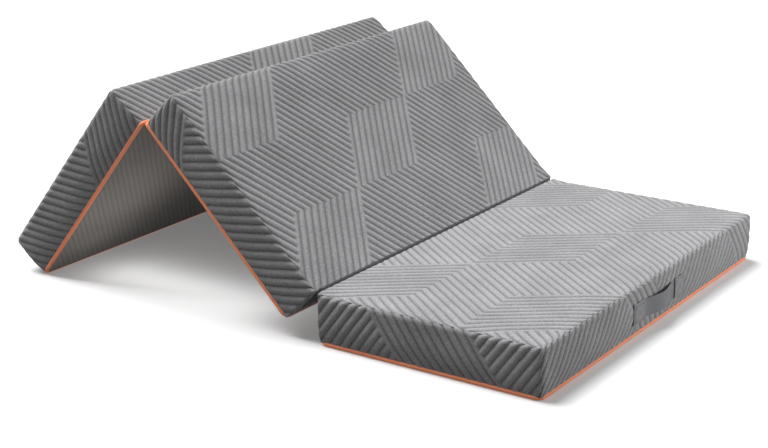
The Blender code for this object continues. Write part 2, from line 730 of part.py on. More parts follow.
def add_slider(panel, frame, shift):
    """The slider: a plate over the coil with a lip on each side, and two lugs that hold the pull's pin."""
    place = Vector(shift) + Vector((slider_start(panel), PLATE_IN, ZIPPER_MIDDLE))
    origin = add_empty(panel + "_zipper_slide", frame, place)
    half_length = SLIDER_LENGTH / 2
    half = SLIDER_HEIGHT / 2
    plate = PLATE_OUT - PLATE_IN
    name = panel + "_zipper_slider"
    bm = bmesh.new()
    block(bm, (-half_length, 0.0, -half), (half_length, plate, half))
    slider = add_object(name, mesh_of(bm, name), origin, (0, 0, 0), "zipper_metal")
    lip_in = TAPE_OUT + GAP - PLATE_IN
    lip = half - ZIPPER_COIL_HEIGHT / 2 - GAP
    pin = PIN_OUT - PLATE_IN
    lug_in = PULL_WIDTH / 2 + GAP
    for word, sign in (("lower", -1), ("upper", 1)):
        bm = bmesh.new()
        inner, outer = sorted((sign * half, sign * (half - lip)))
        block(bm, (-half_length, lip_in, inner), (half_length, plate / 2, outer))
        add_cut(slider, helper(f"{name}_{word}_lip", bm, origin), "UNION")
        bm = bmesh.new()
        inner, outer = sorted((sign * lug_in, sign * (lug_in + SLIDER_LUG)))
        block(bm, (-EYE_RADIUS, plate / 2, inner), (EYE_RADIUS, pin + EYE_RADIUS, outer))
        add_cut(slider, helper(f"{name}_{word}_lug", bm, origin), "UNION")
    bm = bmesh.new()
    reach = lug_in + SLIDER_LUG / 2
    upright_pin(bm, 0.0, pin, -reach, reach, PULL_PIN_RADIUS)
    add_cut(slider, helper(name + "_pin", bm, origin), "UNION")
    return origin, pin


def add_pull(panel, origin, pin):
    """The pull tab: an eye round the slider's pin and a flat tab that lies along the tape, pointing down the slope."""
    way = end_sign(PANELS[panel]["down"]) * (1 if panel != "front" else -1)
    axis = add_empty(panel + "_zipper_pull_axis", origin, (0.0, pin, 0.0))
    name = panel + "_zipper_pull"
    half = PULL_WIDTH / 2
    bm = bmesh.new()
    upright_pin(bm, 0.0, 0.0, -half, half, EYE_RADIUS)
    pull = add_object(name, mesh_of(bm, name), axis, (0, 0, 0), "zipper_metal")
    bm = bmesh.new()
    near, far = sorted((way * (PULL_PIN_RADIUS + PULL_PIN_CLEARANCE), way * PULL_LENGTH))
    block(bm, (near, -PULL_PLATE / 2, -half), (far, PULL_PLATE / 2, half))
    add_cut(pull, helper(name + "_tab", bm, axis), "UNION")
    bm = bmesh.new()
    reach = half + CUT_OVERRUN
    upright_pin(bm, 0.0, 0.0, -reach, reach, PULL_PIN_RADIUS + PULL_PIN_CLEARANCE)
    add_cut(pull, helper(name + "_eye", bm, axis))


def panel_frames():
    """An empty on each panel's own joint axis, and the shift from there to the middle of the panel's underside."""
    front = add_empty("front_panel_frame", None, (0, 0, 0))
    place = (-HALF_LENGTH, 0.0, TOP_FOLD_HEIGHT)
    middle = add_empty("front_fold_axis", front, place, MIDDLE_LEAN)
    place = (-PANEL_LENGTH, 0.0, BOTTOM_FOLD_HEIGHT - TOP_FOLD_HEIGHT)
    rear = add_empty("rear_fold_axis", middle, place, -MIDDLE_LEAN - rear_lean())
    return {
        "front": (front, (0.0, 0.0, 0.0)),
        "middle": (middle, (-HALF_LENGTH, 0.0, -TOP_FOLD_HEIGHT)),
        "rear": (rear, (-HALF_LENGTH, 0.0, -BOTTOM_FOLD_HEIGHT)),
    }


clear_scene()
PARTS = collection("folding_mattress")
CUTTERS = collection("cutters")


def main():
    frames = panel_frames()
    for panel, (frame, shift) in frames.items():
        add_cover(panel, frame, shift)
        add_foam(panel, frame, shift)
        add_bottom(panel, frame, shift)
        add_zipper_tape(panel, frame, shift)
        add_pull(panel, *add_slider(panel, frame, shift))
    add_fold_seams(frames)
    add_handle(*frames["front"])


main()
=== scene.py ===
"""Looks of the folding mattress: three foam panels in chevron-ribbed knit covers, standing half folded like a tent."""

import json
import math

import bmesh
import bpy
import numpy as np
from mathutils import Matrix, Vector


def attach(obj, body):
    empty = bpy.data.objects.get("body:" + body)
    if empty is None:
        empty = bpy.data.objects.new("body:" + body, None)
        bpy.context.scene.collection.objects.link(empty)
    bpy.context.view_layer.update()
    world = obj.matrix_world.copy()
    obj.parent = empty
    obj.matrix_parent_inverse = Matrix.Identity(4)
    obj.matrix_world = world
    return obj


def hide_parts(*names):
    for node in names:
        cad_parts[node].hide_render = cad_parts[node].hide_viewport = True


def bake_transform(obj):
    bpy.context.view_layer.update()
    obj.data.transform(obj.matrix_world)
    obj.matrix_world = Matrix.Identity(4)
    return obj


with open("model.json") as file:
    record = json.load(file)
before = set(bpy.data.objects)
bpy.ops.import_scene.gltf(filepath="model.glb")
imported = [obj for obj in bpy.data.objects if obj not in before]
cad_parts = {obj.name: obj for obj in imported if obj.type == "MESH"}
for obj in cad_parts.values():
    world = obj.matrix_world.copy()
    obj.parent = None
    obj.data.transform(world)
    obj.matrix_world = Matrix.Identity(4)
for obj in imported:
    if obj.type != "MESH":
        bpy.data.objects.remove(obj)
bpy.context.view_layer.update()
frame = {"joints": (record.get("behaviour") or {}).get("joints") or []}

scene = bpy.context.scene

# The photographer's view
#
# The mattress is seen from the handle's side, from a little above and about four and a half metres away, through a
# long lens, so that the two folds run back to the upper right and the tent's open end faces the viewer.

VIEW_PLACE = (1.98258, -3.65799, 1.54685)
VIEW_TURN = math.radians(34.444)
VIEW_TILT = math.radians(-17.873)
VIEW_ROLL = math.radians(0.385)
VIEW_LENS_PIXELS = 1655.3
PHOTO_WIDTH = 768
FILM_WIDTH = 36.0


def put(name, data):
    """A new object in the scene."""
    made = bpy.data.objects.new(name, data)
    scene.collection.objects.link(made)
    return made


camera = put("photographers_view", bpy.data.cameras.new("photographers_view"))
camera.data.sensor_width = FILM_WIDTH
camera.data.lens = VIEW_LENS_PIXELS / PHOTO_WIDTH * FILM_WIDTH
camera.matrix_world = (
    Matrix.Translation(VIEW_PLACE)
    @ Matrix.Rotation(VIEW_TURN, 4, "Z")
    @ Matrix.Rotation(VIEW_TILT, 4, "X")
    @ Matrix.Rotation(VIEW_ROLL, 4, "Y")
    @ Matrix.Rotation(math.radians(90), 4, "X")
)
scene.camera = camera

# Knit covers
#
# Each panel wears a double-knit polyester cover in heathered grey, quilted into raised ribs. The ribs lie in
# slanted bands whose direction flips at every band's edge and at every row, which makes tall chevrons. The cover
# is pulled tight over the foam, swells a little at half height and is drawn in to the seam above the piping.

PANEL_LENGTH = 0.6333
MATTRESS_WIDTH = 1.200
PANEL_THICKNESS = 0.140
COVER_SWELL = 0.006
COVER_SEAM_DRAW = {"free": 0.0075, "top fold": 0.0044, "bottom fold": 0.0003}
COVER_TOP_DRAW = 0.0015
COVER_CROWN = 0.004
COVER_CORNER = 0.018
COVER_FOLD_CORNER = 0.0045
COVER_TOP_ROUND = 0.0145
COVER_FOLD_ROUND = 0.0070
COVER_FOLD_RISE = 0.0035
COVER_FOLD_ZONE = 0.045
COVER_SEAM_HEIGHT = 0.0077
FOLD_ROOM = 0.0016

RIB_SPACING = 0.02830
RIB_DEPTH = 0.0031
RIB_SHARPNESS = 1.9
END_RIBS = {"free": 1.0, "top fold": 0.25, "bottom fold": 1.0}
RIB_ROW = 0.2065
RIB_ROWS = 3
RIB_SLOPE = 5.5 * RIB_SPACING / RIB_ROW
BAND_WIDTH = 10 * RIB_SPACING
BAND_REPEAT = 31 * RIB_SPACING
BAND_ROW_SHIFT = 15.5 * RIB_SPACING
SECOND_ROW_BAND = 0.3934
LATE_BAND_FROM = 0.85
BAND_FADE = 0.011
BAND_CALM = 0.3

CAGE_STEP = 0.0115
CAGE_EDGE_LINES = (0.0, 0.0045, 0.0095, 0.0165)
CAGE_FOLD_LINES = (0.0, 0.0018, 0.0040, 0.0075, 0.0140)
CAGE_SMOOTHING = 2
AIR_FRAMES = 20
AIR_PRESSURE = 0.5
AIR_SLACK = 0.001
AIR_MOST = 0.0035
AIR_EASE = 0.015
AIR_SLIP = 0.0006
AIR_SEAM_ZONE = 0.03
AIR_HANDLE_ZONE = 0.06
CLOTH_STIFFNESS = 60.0
CLOTH_MASS = 0.02
TOP_LEVEL = 0.1370
TOP_GIVE = 0.0028

ZIPPER_LENGTH = 0.520
ZIPPER_POCKET_HEIGHT = 0.016
ZIPPER_POCKET_FLOOR = 0.5952
ZIPPER_POCKET_LIP = 0.0012
HANDLE_REACH = 0.150

KNIT_GREY = (0.335, 0.335, 0.342, 1.0)
# Painted shade: the colour that the knit takes at the bottom of its grooves
KNIT_GROOVE_PAINTED_SHADE = (0.150, 0.150, 0.156, 1.0)
KNIT_WALE = 0.0024
KNIT_COURSE = 0.0019
KNIT_SPECK = 0.0042
GROOVE_SHADE = 1.3
LOOP_SLANT = 1.4
LOOP_BULGE = 8.0
LOOP_STRAND = 0.5
NAP_PATCHES = 9.0
NAP_STRENGTH = 0.35

HALF_LENGTH = PANEL_LENGTH / 2
HALF_WIDTH = MATTRESS_WIDTH / 2
COVER_TOP = PANEL_THICKNESS - COVER_CROWN
SIDE_MIDDLE = (COVER_SEAM_HEIGHT + COVER_TOP - COVER_TOP_ROUND) / 2
ZIPPER_POCKET_TOP = COVER_SEAM_HEIGHT + ZIPPER_POCKET_HEIGHT

# Each panel's left and right ends, and the end from which its rows of ribs are counted
PANELS = {
    "front": ("top fold", "free", "left"),
    "middle": ("bottom fold", "top fold", "right"),
    "rear": ("free", "bottom fold", "right"),
}

# Bands on a panel's sides, seen from outside: where the band starts at half height and how wide it is, counted in
# rib spacings, the way that it leans, and from where along the side it holds
USUAL_BAND = [(7.3, 10, 1, 0.0)]
SIDE_BANDS = {
    ("front", "near"): [(7.2, 10, -1, 0.0)],
    ("front", "right"): [(16.2, 5.5, -1, 0.0), (38.2, 10, -1, LATE_BAND_FROM)],
    ("middle", "near"): [(-5.5, 10, -1, 0.0)],
    ("rear", "near"): [(14.4, 10, 1, 0.0)],
    ("rear", "right"): [(18.4, 10, 1, 0.0)],
}


def raised(fold_name):
    """The turn that has raised a fold from lying flat."""
    fold = next(joint for joint in frame["joints"] if joint["name"] == fold_name)
    place = Matrix.Translation(fold["pos_m"])
    turn = Matrix.Rotation(-math.radians(fold["range_deg"][0]), 4, Vector(fold["axis"]))
    return place @ turn @ place.inverted()


# From the middle of each panel's underside to where the panel stands
STANCES = {
    "front": Matrix.Identity(4),
    "middle": raised("front_fold") @ Matrix.Translation((-PANEL_LENGTH, 0, 0)),
    "rear": raised("rear_fold") @ raised("front_fold") @ Matrix.Translation((-2 * PANEL_LENGTH, 0, 0)),
}


def smooth_share(value, low, high):
    share = min(max((value - low) / (high - low), 0.0), 1.0)
    return share * share * (3 - 2 * share)


def end_reach(kind):
    return HALF_LENGTH + COVER_SWELL if kind == "free" else HALF_LENGTH - FOLD_ROOM


def cover_form(panel, x, y, z):
    """Where a point of the plain box lies on the tight cover."""
    kind = PANELS[panel][0 if x < 0 else 1]
    reach = end_reach(kind)
    half = HALF_WIDTH + COVER_SWELL
    end_round = COVER_FOLD_CORNER if kind == "top fold" else COVER_CORNER
    by_fold = smooth_share(abs(x), reach - COVER_FOLD_ZONE, reach) if kind == "top fold" else 0.0
    top_round = COVER_TOP_ROUND + (COVER_FOLD_ROUND - COVER_TOP_ROUND) * by_fold
    core = Vector(
        (
            max(-reach + end_round, min(x, reach - end_round)),
            max(-half + COVER_CORNER, min(y, half - COVER_CORNER)),
            min(z, COVER_TOP - top_round),
        )
    )
    out = Vector(((x - core.x) / end_round, (y - core.y) / COVER_CORNER, (z - core.z) / top_round))
    if out.length > 1e-9:
        out.normalize()
    place = core + Vector((out.x * end_round, out.y * COVER_CORNER, out.z * top_round))
    if z < SIDE_MIDDLE:
        low_share = ((SIDE_MIDDLE - z) / (SIDE_MIDDLE - COVER_SEAM_HEIGHT)) ** 2
        place.x -= out.x * COVER_SEAM_DRAW[kind] * low_share
        place.y -= out.y * COVER_SEAM_DRAW["free"] * low_share
    else:
        high_share = (min(z, COVER_TOP) - SIDE_MIDDLE) / (COVER_TOP - SIDE_MIDDLE)
        place.x -= out.x * COVER_TOP_DRAW * high_share**2 * (1 - by_fold)
        place.y -= out.y * COVER_TOP_DRAW * high_share**2
        rise = (1 - (x / reach) ** 2) * (1 - (y / half) ** 2)
        place.z += (COVER_CROWN * rise + COVER_FOLD_RISE * by_fold) * smooth_share(z, SIDE_MIDDLE, COVER_TOP)
    if in_zipper_pocket(x, y, z):
        place.y = ZIPPER_POCKET_FLOOR
    return place


def in_zipper_pocket(x, y, z):
    """The far side's pocket, low down, in which the zipper lies."""
    low = z < ZIPPER_POCKET_TOP + ZIPPER_POCKET_LIP / 2
    return y > HALF_WIDTH and low and abs(x) < (ZIPPER_LENGTH + ZIPPER_POCKET_LIP) / 2


def looseness(panel, x, y, z):
    """How freely air may swell the cover: not at its seam, nor round the zipper, nor under the handle's patches."""
    free = smooth_share(z, COVER_SEAM_HEIGHT, COVER_SEAM_HEIGHT + AIR_SEAM_ZONE)
    if y > HALF_WIDTH:
        free *= smooth_share(z, ZIPPER_POCKET_TOP, ZIPPER_POCKET_TOP + AIR_SEAM_ZONE)
    if panel == "front" and x > HALF_LENGTH:
        free *= smooth_share(abs(y), HANDLE_REACH, HANDLE_REACH + AIR_HANDLE_ZONE)
    return free


def cage_lines(low, high, marks, low_lines=CAGE_EDGE_LINES, high_lines=CAGE_EDGE_LINES):
    """Places of a cage's lines: close together by both edges, one on each mark, and evenly spaced between them."""
    fixed = [low + edge for edge in low_lines] + [high - edge for edge in high_lines] + marks
    fixed = sorted({round(place, 6) for place in fixed})
    lines = []
    for start, end in zip(fixed, fixed[1:]):
        count = max(1, math.ceil((end - start) / CAGE_STEP))
        lines += [start + (end - start) * number / count for number in range(count)]
    return lines + [fixed[-1]]


def top_place(panel, x, y, row):
    """A place on the knit of a panel's top, across from its row's first band and up from its row's first line."""
    sign = -1 if PANELS[panel][2] == "left" else 1
    up = HALF_LENGTH - sign * x - row * RIB_ROW
    return y + HALF_WIDTH - SECOND_ROW_BAND - (row - 1) * BAND_ROW_SHIFT, up, BAND_WIDTH


def side_place(panel, side, x, y, z, middle):
    """A place on the knit of one side, across from its band's start and up from half height."""
    across_of = {
        "near": lambda px, py: px + HALF_LENGTH,
        "right": lambda px, py: py + HALF_WIDTH,
        "far": lambda px, py: HALF_LENGTH - px,
        "left": lambda px, py: HALF_WIDTH - py,
    }[side]
    bands = SIDE_BANDS.get((panel, side), USUAL_BAND)
    start, width, lean, _ = [band for band in bands if band[3] <= max(across_of(*middle), 0.0)][-1]
    return across_of(x, y) - start * RIB_SPACING, lean * (z - SIDE_MIDDLE), width * RIB_SPACING


def cover_cage(panel):
    """The cover as a coarse cage, with each corner's place on the knit and each point's room for air."""
    kinds = PANELS[panel][:2]
    left, right = (end_reach(kind) for kind in kinds)
    half = HALF_WIDTH + COVER_SWELL
    sign = -1 if PANELS[panel][2] == "left" else 1
    rows = [sign * (HALF_LENGTH - row * RIB_ROW) for row in range(1, RIB_ROWS)]
    pocket_ends = [way * (ZIPPER_LENGTH / 2 + lip) for way in (-1, 1) for lip in (0.0, ZIPPER_POCKET_LIP)]
    end_lines = [CAGE_FOLD_LINES if kind == "top fold" else CAGE_EDGE_LINES for kind in kinds]
    xs = cage_lines(-left, right, rows + pocket_ends, *end_lines)
    ys = cage_lines(-half, half, [LATE_BAND_FROM - HALF_WIDTH])
    zs = cage_lines(COVER_SEAM_HEIGHT, COVER_TOP, [ZIPPER_POCKET_TOP, ZIPPER_POCKET_TOP + ZIPPER_POCKET_LIP])
    last_x, last_y, last_z = len(xs) - 1, len(ys) - 1, len(zs) - 1
    index, places, loose = {}, [], []
    faces, knit = [], []

    def point(i, j, k):
        if (i, j, k) not in index:
            index[i, j, k] = len(places)
            places.append(cover_form(panel, xs[i], ys[j], zs[k]))
            loose.append(looseness(panel, xs[i], ys[j], zs[k]))
        return index[i, j, k]

    def face(corners, place_of):
        faces.append([point(*corner) for corner in corners])
        spots = [(xs[i], ys[j], zs[k]) for i, j, k in corners]
        middle = [sum(spot[axis] for spot in spots) / len(spots) for axis in range(3)]
        knit.extend(place_of(spot, middle) for spot in spots)

    def side_face(corners, side, facing_out):
        ring = corners if facing_out else corners[::-1]
        face(ring, lambda spot, middle: side_place(panel, side, *spot, middle[:2]))

    for i in range(last_x):
        for j in range(last_y):
            ring = [(i, j, last_z), (i + 1, j, last_z), (i + 1, j + 1, last_z), (i, j + 1, last_z)]
            distance = HALF_LENGTH - sign * (xs[i] + xs[i + 1]) / 2
            row = min(max(int(distance / RIB_ROW), 0), RIB_ROWS - 1)
            face(ring, lambda spot, middle: top_place(panel, spot[0], spot[1], row))
    for k in range(last_z):
        for i in range(last_x):
            for j, side in ((0, "near"), (last_y, "far")):
                side_face([(i, j, k), (i + 1, j, k), (i + 1, j, k + 1), (i, j, k + 1)], side, side == "near")
        for j in range(last_y):
            for i, side in ((last_x, "right"), (0, "left")):
                side_face([(i, j, k), (i, j + 1, k), (i, j + 1, k + 1), (i, j, k + 1)], side, side == "right")
    mesh = bpy.data.meshes.new(panel + "_knit_cover")
    mesh.from_pydata(places, [], faces)
    mesh.attributes.new("knit_place", "FLOAT_VECTOR", "CORNER").data.foreach_set("vector", np.ravel(knit))
    plain = {number for (i, j, k), number in index.items() if k == 0 or in_zipper_pocket(xs[i], ys[j], zs[k])}
    depth = {number: END_RIBS[kinds[0 if i == 0 else 1]] for (i, j, k), number in index.items() if i in (0, last_x)}
    depth.update({number: 0.0 for number in plain})
    ribbed = mesh.attributes.new("ribbed", "FLOAT", "POINT")
    ribbed.data.foreach_set("value", [depth.get(number, 1.0) for number in range(len(places))])
    return mesh, np.array(places), np.array(loose)[:, None], plain


def close_bottom(mesh):
    """Closes a cover along its seam, under the foam, and rounds the shading of everything else."""
    bm = bmesh.new()
    bm.from_mesh(mesh)
    seam = [edge for edge in bm.edges if edge.is_boundary]
    for face in bm.faces:
        face.smooth = True
    for face in bmesh.ops.contextual_create(bm, geom=seam)["faces"]:
        face.smooth = False
    bmesh.ops.recalc_face_normals(bm, faces=bm.faces[:])
    bm.to_mesh(mesh)
    bm.free()


def blow_up(covers):
    """Lets air swell each cover a little, held along its seam, so that it sits like cloth over foam."""
    for obj, places, loose, plain in covers:
        seam = obj.vertex_groups.new(name="seam")
        seam.add(sorted(plain), 1.0, "REPLACE")
        cloth = obj.modifiers.new("air", "CLOTH")
        cloth.collision_settings.use_self_collision = False
        air = cloth.settings
        air.quality = 5
        air.mass = CLOTH_MASS
        air.vertex_group_mass = seam.name
        air.tension_stiffness = air.compression_stiffness = CLOTH_STIFFNESS
        air.shrink_min = -AIR_SLACK
        air.use_pressure = True
        air.uniform_pressure_force = AIR_PRESSURE
        air.effector_weights.gravity = 0.0
    for number in range(1, AIR_FRAMES + 1):
        scene.frame_set(number)
    for obj, places, loose, plain in covers:
        swollen = obj.evaluated_get(bpy.context.evaluated_depsgraph_get()).data
        after, outward = np.empty(len(places) * 3), np.empty(len(places) * 3)
        swollen.vertices.foreach_get("co", after)
        obj.data.vertex_normals.foreach_get("vector", outward)
        move, outward = after.reshape(-1, 3) - places, outward.reshape(-1, 3)
        along = (move * outward).sum(axis=1, keepdims=True)
        slip = move - along * outward
        slip *= np.minimum(1.0, AIR_SLIP / np.maximum(np.linalg.norm(slip, axis=1, keepdims=True), 1e-9))
        kept = AIR_MOST * (1 - np.exp(-np.maximum(along, 0.0) / AIR_EASE)) * outward + slip
        obj.modifiers.clear()
        obj.vertex_groups.clear()
        obj.data.vertices.foreach_set("co", (places + loose * kept).ravel())
    scene.frame_set(1)


def rest_against_neighbours(obj, panel):
    """Two panels lie flat against each other at a fold and in the closed stack, so no cover swells past them."""
    left, right = PANELS[panel][:2]
    for vertex in obj.data.vertices:
        if vertex.co.z > TOP_LEVEL:
            vertex.co.z = TOP_LEVEL + TOP_GIVE * math.tanh((vertex.co.z - TOP_LEVEL) / TOP_GIVE)
        if left != "free":
            vertex.co.x = max(vertex.co.x, -end_reach(left))
        if right != "free":
            vertex.co.x = min(vertex.co.x, end_reach(right))


def feed(tree, socket, value):
    """Sets a node's input to a value, or joins it to another node."""
    if isinstance(value, bpy.types.NodeSocket):
        tree.links.new(value, socket)
    else:
        socket.default_value = value


def add_node(tree, kind, **fed):
    """A new node. Names in lower case are its own settings, and capitalised names are its inputs."""
    made = tree.nodes.new(kind)
    for label, value in fed.items():
        if label[0].islower():
            setattr(made, label, value)
        else:
            feed(tree, made.inputs[label.replace("_", " ")], value)
    return made


def sums(tree, operation, *values):
    """One step of arithmetic in a node tree."""
    made = add_node(tree, "ShaderNodeMath", operation=operation)
    for socket, value in zip(made.inputs, values):
        feed(tree, socket, value)
    return made.outputs[0]


def parts_of(tree, vector):
    return add_node(tree, "ShaderNodeSeparateXYZ", Vector=vector).outputs


def rib_height(tree, place, spacing, slope, repeat, sharpness, fade):
    """The nodes that give a rib's height at a place on the knit, from 0 in the groove to 1 on the crest."""
    across, up, width = parts_of(tree, place)
    lean = sums(tree, "MULTIPLY", up, slope)
    with_band = sums(tree, "SUBTRACT", across, lean)
    against_band = sums(tree, "ADD", across, lean)
    in_repeat = sums(tree, "FLOORED_MODULO", with_band, repeat)
    inside = sums(tree, "LESS_THAN", in_repeat, width)
    change = sums(tree, "MULTIPLY", inside, sums(tree, "SUBTRACT", with_band, against_band))
    turns = sums(tree, "DIVIDE", sums(tree, "ADD", against_band, change), spacing)
    wave = sums(tree, "ABSOLUTE", sums(tree, "MULTIPLY_ADD", sums(tree, "FRACT", turns), 2.0, -1.0))
    groove = sums(tree, "POWER", sums(tree, "SUBTRACT", 1.0, wave), sharpness)
    edge = sums(tree, "MINIMUM", sums(tree, "SUBTRACT", in_repeat, width), sums(tree, "SUBTRACT", repeat, in_repeat))
    near_edge = sums(tree, "SUBTRACT", 1.0, sums(tree, "MINIMUM", sums(tree, "DIVIDE", edge, fade), 1.0))
    by_edge = sums(tree, "SMOOTH_MIN", near_edge, 1.0, BAND_CALM)
    calm = sums(tree, "MULTIPLY", sums(tree, "SUBTRACT", 1.0, inside), by_edge)
    return sums(tree, "MAXIMUM", sums(tree, "SUBTRACT", 1.0, groove), calm)


def tree_with(kind, name, output, **inputs):
    """A node tree with one named output, and named inputs that each give their kind of socket or usual value."""
    tree = bpy.data.node_groups.new(name, kind + "NodeTree")
    for label, value in inputs.items():
        socket = value if isinstance(value, str) else {float: "Float", int: "Int"}[type(value)]
        made = tree.interface.new_socket(label.replace("_", " "), in_out="INPUT", socket_type="NodeSocket" + socket)
        if socket != value:
            made.default_value = value
    socket = {"Geometry": "NodeSocketGeometry", "Shader": "NodeSocketFloat"}[kind]
    tree.interface.new_socket(output, in_out="OUTPUT", socket_type=socket)
    start, end = tree.nodes.new("NodeGroupInput"), tree.nodes.new("NodeGroupOutput")
    return tree, start.outputs[: len(inputs)], end.inputs[0]


def finish_tree(tree, geometry, material, end):
    """Ends a tree with plain geometry in its material."""
    real = add_node(tree, "GeometryNodeRealizeInstances", Geometry=geometry)
    painted = add_node(tree, "GeometryNodeSetMaterial", Geometry=real.outputs[0], Material=material)
    tree.links.new(painted.outputs[0], end)
    return tree


def chevron_ribs():
    """Presses the grooves between the ribs into a cover, along its own normals."""
    tree, (cover, spacing, slope, repeat, depth, sharpness, fade, knit), end = tree_with(
        "Geometry",
        "chevron_ribs",
        "Cover",
        Cover="Geometry",
        Rib_spacing=RIB_SPACING,
        Rib_slope=RIB_SLOPE,
        Band_repeat=BAND_REPEAT,
        Rib_depth=RIB_DEPTH,
        Sharpness=RIB_SHARPNESS,
        Fade=BAND_FADE,
        Knit="Material",
    )
    place = add_node(tree, "GeometryNodeInputNamedAttribute", data_type="FLOAT_VECTOR", Name="knit_place").outputs[0]
    height = rib_height(tree, place, spacing, slope, repeat, sharpness, fade)
    on_corners = add_node(tree, "GeometryNodeFieldOnDomain", domain="CORNER", Value=height).outputs[0]
    ribbed = add_node(tree, "GeometryNodeInputNamedAttribute", Name="ribbed").outputs[0]
    sink = sums(tree, "MULTIPLY", sums(tree, "SUBTRACT", on_corners, 1.0), ribbed)
    outward = add_node(tree, "GeometryNodeInputNormal").outputs[0]
    far = sums(tree, "MULTIPLY", sink, depth)
    offset = add_node(tree, "ShaderNodeVectorMath", operation="SCALE", Vector=outward, Scale=far).outputs[0]
    press = add_node(tree, "GeometryNodeSetPosition", Geometry=cover, Offset=offset)
    return finish_tree(tree, press.outputs[0], knit, end)


def add_tree(obj, tree, sizes):
    """Puts a tree on an object with its own sizes."""
    grow = obj.modifiers.new(tree.name, "NODES")
    grow.node_group = tree
    for item in tree.interface.items_tree:
        if item.in_out == "INPUT" and item.name in sizes:
            grow[item.identifier] = sizes[item.name]


def bake_shape(obj, stance=None):
    """Turns an object and its modifiers into one plain mesh, standing where its panel stands."""
    bpy.context.view_layer.update()
    depsgraph = bpy.context.evaluated_depsgraph_get()
    made = bpy.data.meshes.new_from_object(
        obj.evaluated_get(depsgraph), preserve_all_data_layers=True, depsgraph=depsgraph
    )
    name, old = obj.name, obj.data
    if obj.type == "MESH":
        obj.modifiers.clear()
        obj.data = made
        bpy.data.meshes.remove(old)
    else:
        bpy.data.objects.remove(obj)
        obj = put(name, made)
    if stance:
        made.transform(stance)
    return obj


def new_material(name, colour, roughness, metallic=0.0, sheen=0.0):
    made = bpy.data.materials.new(name)
    made.use_nodes = True
    shader = made.node_tree.nodes["Principled BSDF"]
    shader.inputs["Base Color"].default_value = colour
    shader.inputs["Roughness"].default_value = roughness
    shader.inputs["Metallic"].default_value = metallic
    shader.inputs["Sheen Weight"].default_value = sheen
    return made, made.node_tree, shader


def mix_colour(tree, share, low, high, blend="MIX"):
    """The nodes that mix two colours, or a colour and a socket, by a share."""
    made = add_node(tree, "ShaderNodeMix", data_type="RGBA", blend_type=blend)
    for number, value in ((0, share), (6, low), (7, high)):
        feed(tree, made.inputs[number], value)
    return made.outputs[2]


def heather_group():
    """Yarns of lighter and darker grey that catch light in specks, and soft patches where the nap lies another way."""
    tree, (place, size, strength), end = tree_with(
        "Shader", "heather", "Shade", Place="Vector", Speck_size=0.003, Strength=0.2
    )
    scale = sums(tree, "DIVIDE", 1.0, size)
    specks = add_node(tree, "ShaderNodeTexNoise", Vector=place, Scale=scale, Detail=2.0)
    patches = add_node(tree, "ShaderNodeTexNoise", Vector=place, Scale=NAP_PATCHES, Detail=1.0)
    fine = sums(tree, "SUBTRACT", specks.outputs["Fac"], 0.5)
    broad = sums(tree, "MULTIPLY", sums(tree, "SUBTRACT", patches.outputs["Fac"], 0.5), NAP_STRENGTH)
    tree.links.new(sums(tree, "MULTIPLY_ADD", sums(tree, "ADD", fine, broad), strength, 1.0), end)
    return tree


def knit_loops_group():
    """The V-shaped loops of a knit in upright columns."""
    tree, (place, wale, course), end = tree_with(
        "Shader", "knit_loops", "Height", Place="Vector", Wale=KNIT_WALE, Course=KNIT_COURSE
    )
    across, up, _ = parts_of(tree, place)
    column = sums(tree, "FRACT", sums(tree, "DIVIDE", across, wale))
    side = sums(tree, "ABSOLUTE", sums(tree, "SUBTRACT", column, 0.5))
    climb = sums(tree, "MULTIPLY_ADD", side, LOOP_SLANT, sums(tree, "DIVIDE", up, course))
    strand = sums(tree, "ABSOLUTE", sums(tree, "MULTIPLY_ADD", sums(tree, "FRACT", climb), 2.0, -1.0))
    fold = sums(tree, "MULTIPLY", sums(tree, "SUBTRACT", 0.5, side), side)
    height = sums(tree, "MULTIPLY_ADD", fold, LOOP_BULGE, sums(tree, "MULTIPLY", strand, LOOP_STRAND))
    tree.links.new(height, end)
    return tree


heather = heather_group()
knit_loops = knit_loops_group()


def use_group(tree, group, **fed):
    return add_node(tree, "ShaderNodeGroup", node_tree=group, **fed).outputs[0]


def attribute(tree, name, output="Fac"):
    return add_node(tree, "ShaderNodeAttribute", attribute_name=name).outputs[output]


def surface_of(tree):
    """The place on the object itself."""
    return add_node(tree, "ShaderNodeTexCoord").outputs["Object"]


def dye_and_paint_shade(tree, shader, colour, place, speck, strength, relief=None, contrast=0.0, darkest=1.0):
    """Colours a surface in lighter and darker specks, and paints shade where its relief lies low."""
    shade = use_group(tree, heather, Place=place, Speck_size=speck, Strength=strength)
    if relief:
        shade = sums(tree, "MULTIPLY", shade, sums(tree, "MULTIPLY_ADD", relief, contrast, darkest))
    grey = add_node(tree, "ShaderNodeCombineColor", Red=shade, Green=shade, Blue=shade).outputs[0]
    tree.links.new(mix_colour(tree, 1.0, colour, grey, "MULTIPLY"), shader.inputs["Base Color"])


def bumped(tree, shader, height, distance, strength=1.0):
    bump = add_node(tree, "ShaderNodeBump", Distance=distance, Strength=strength, Height=height)
    tree.links.new(bump.outputs[0], shader.inputs["Normal"])


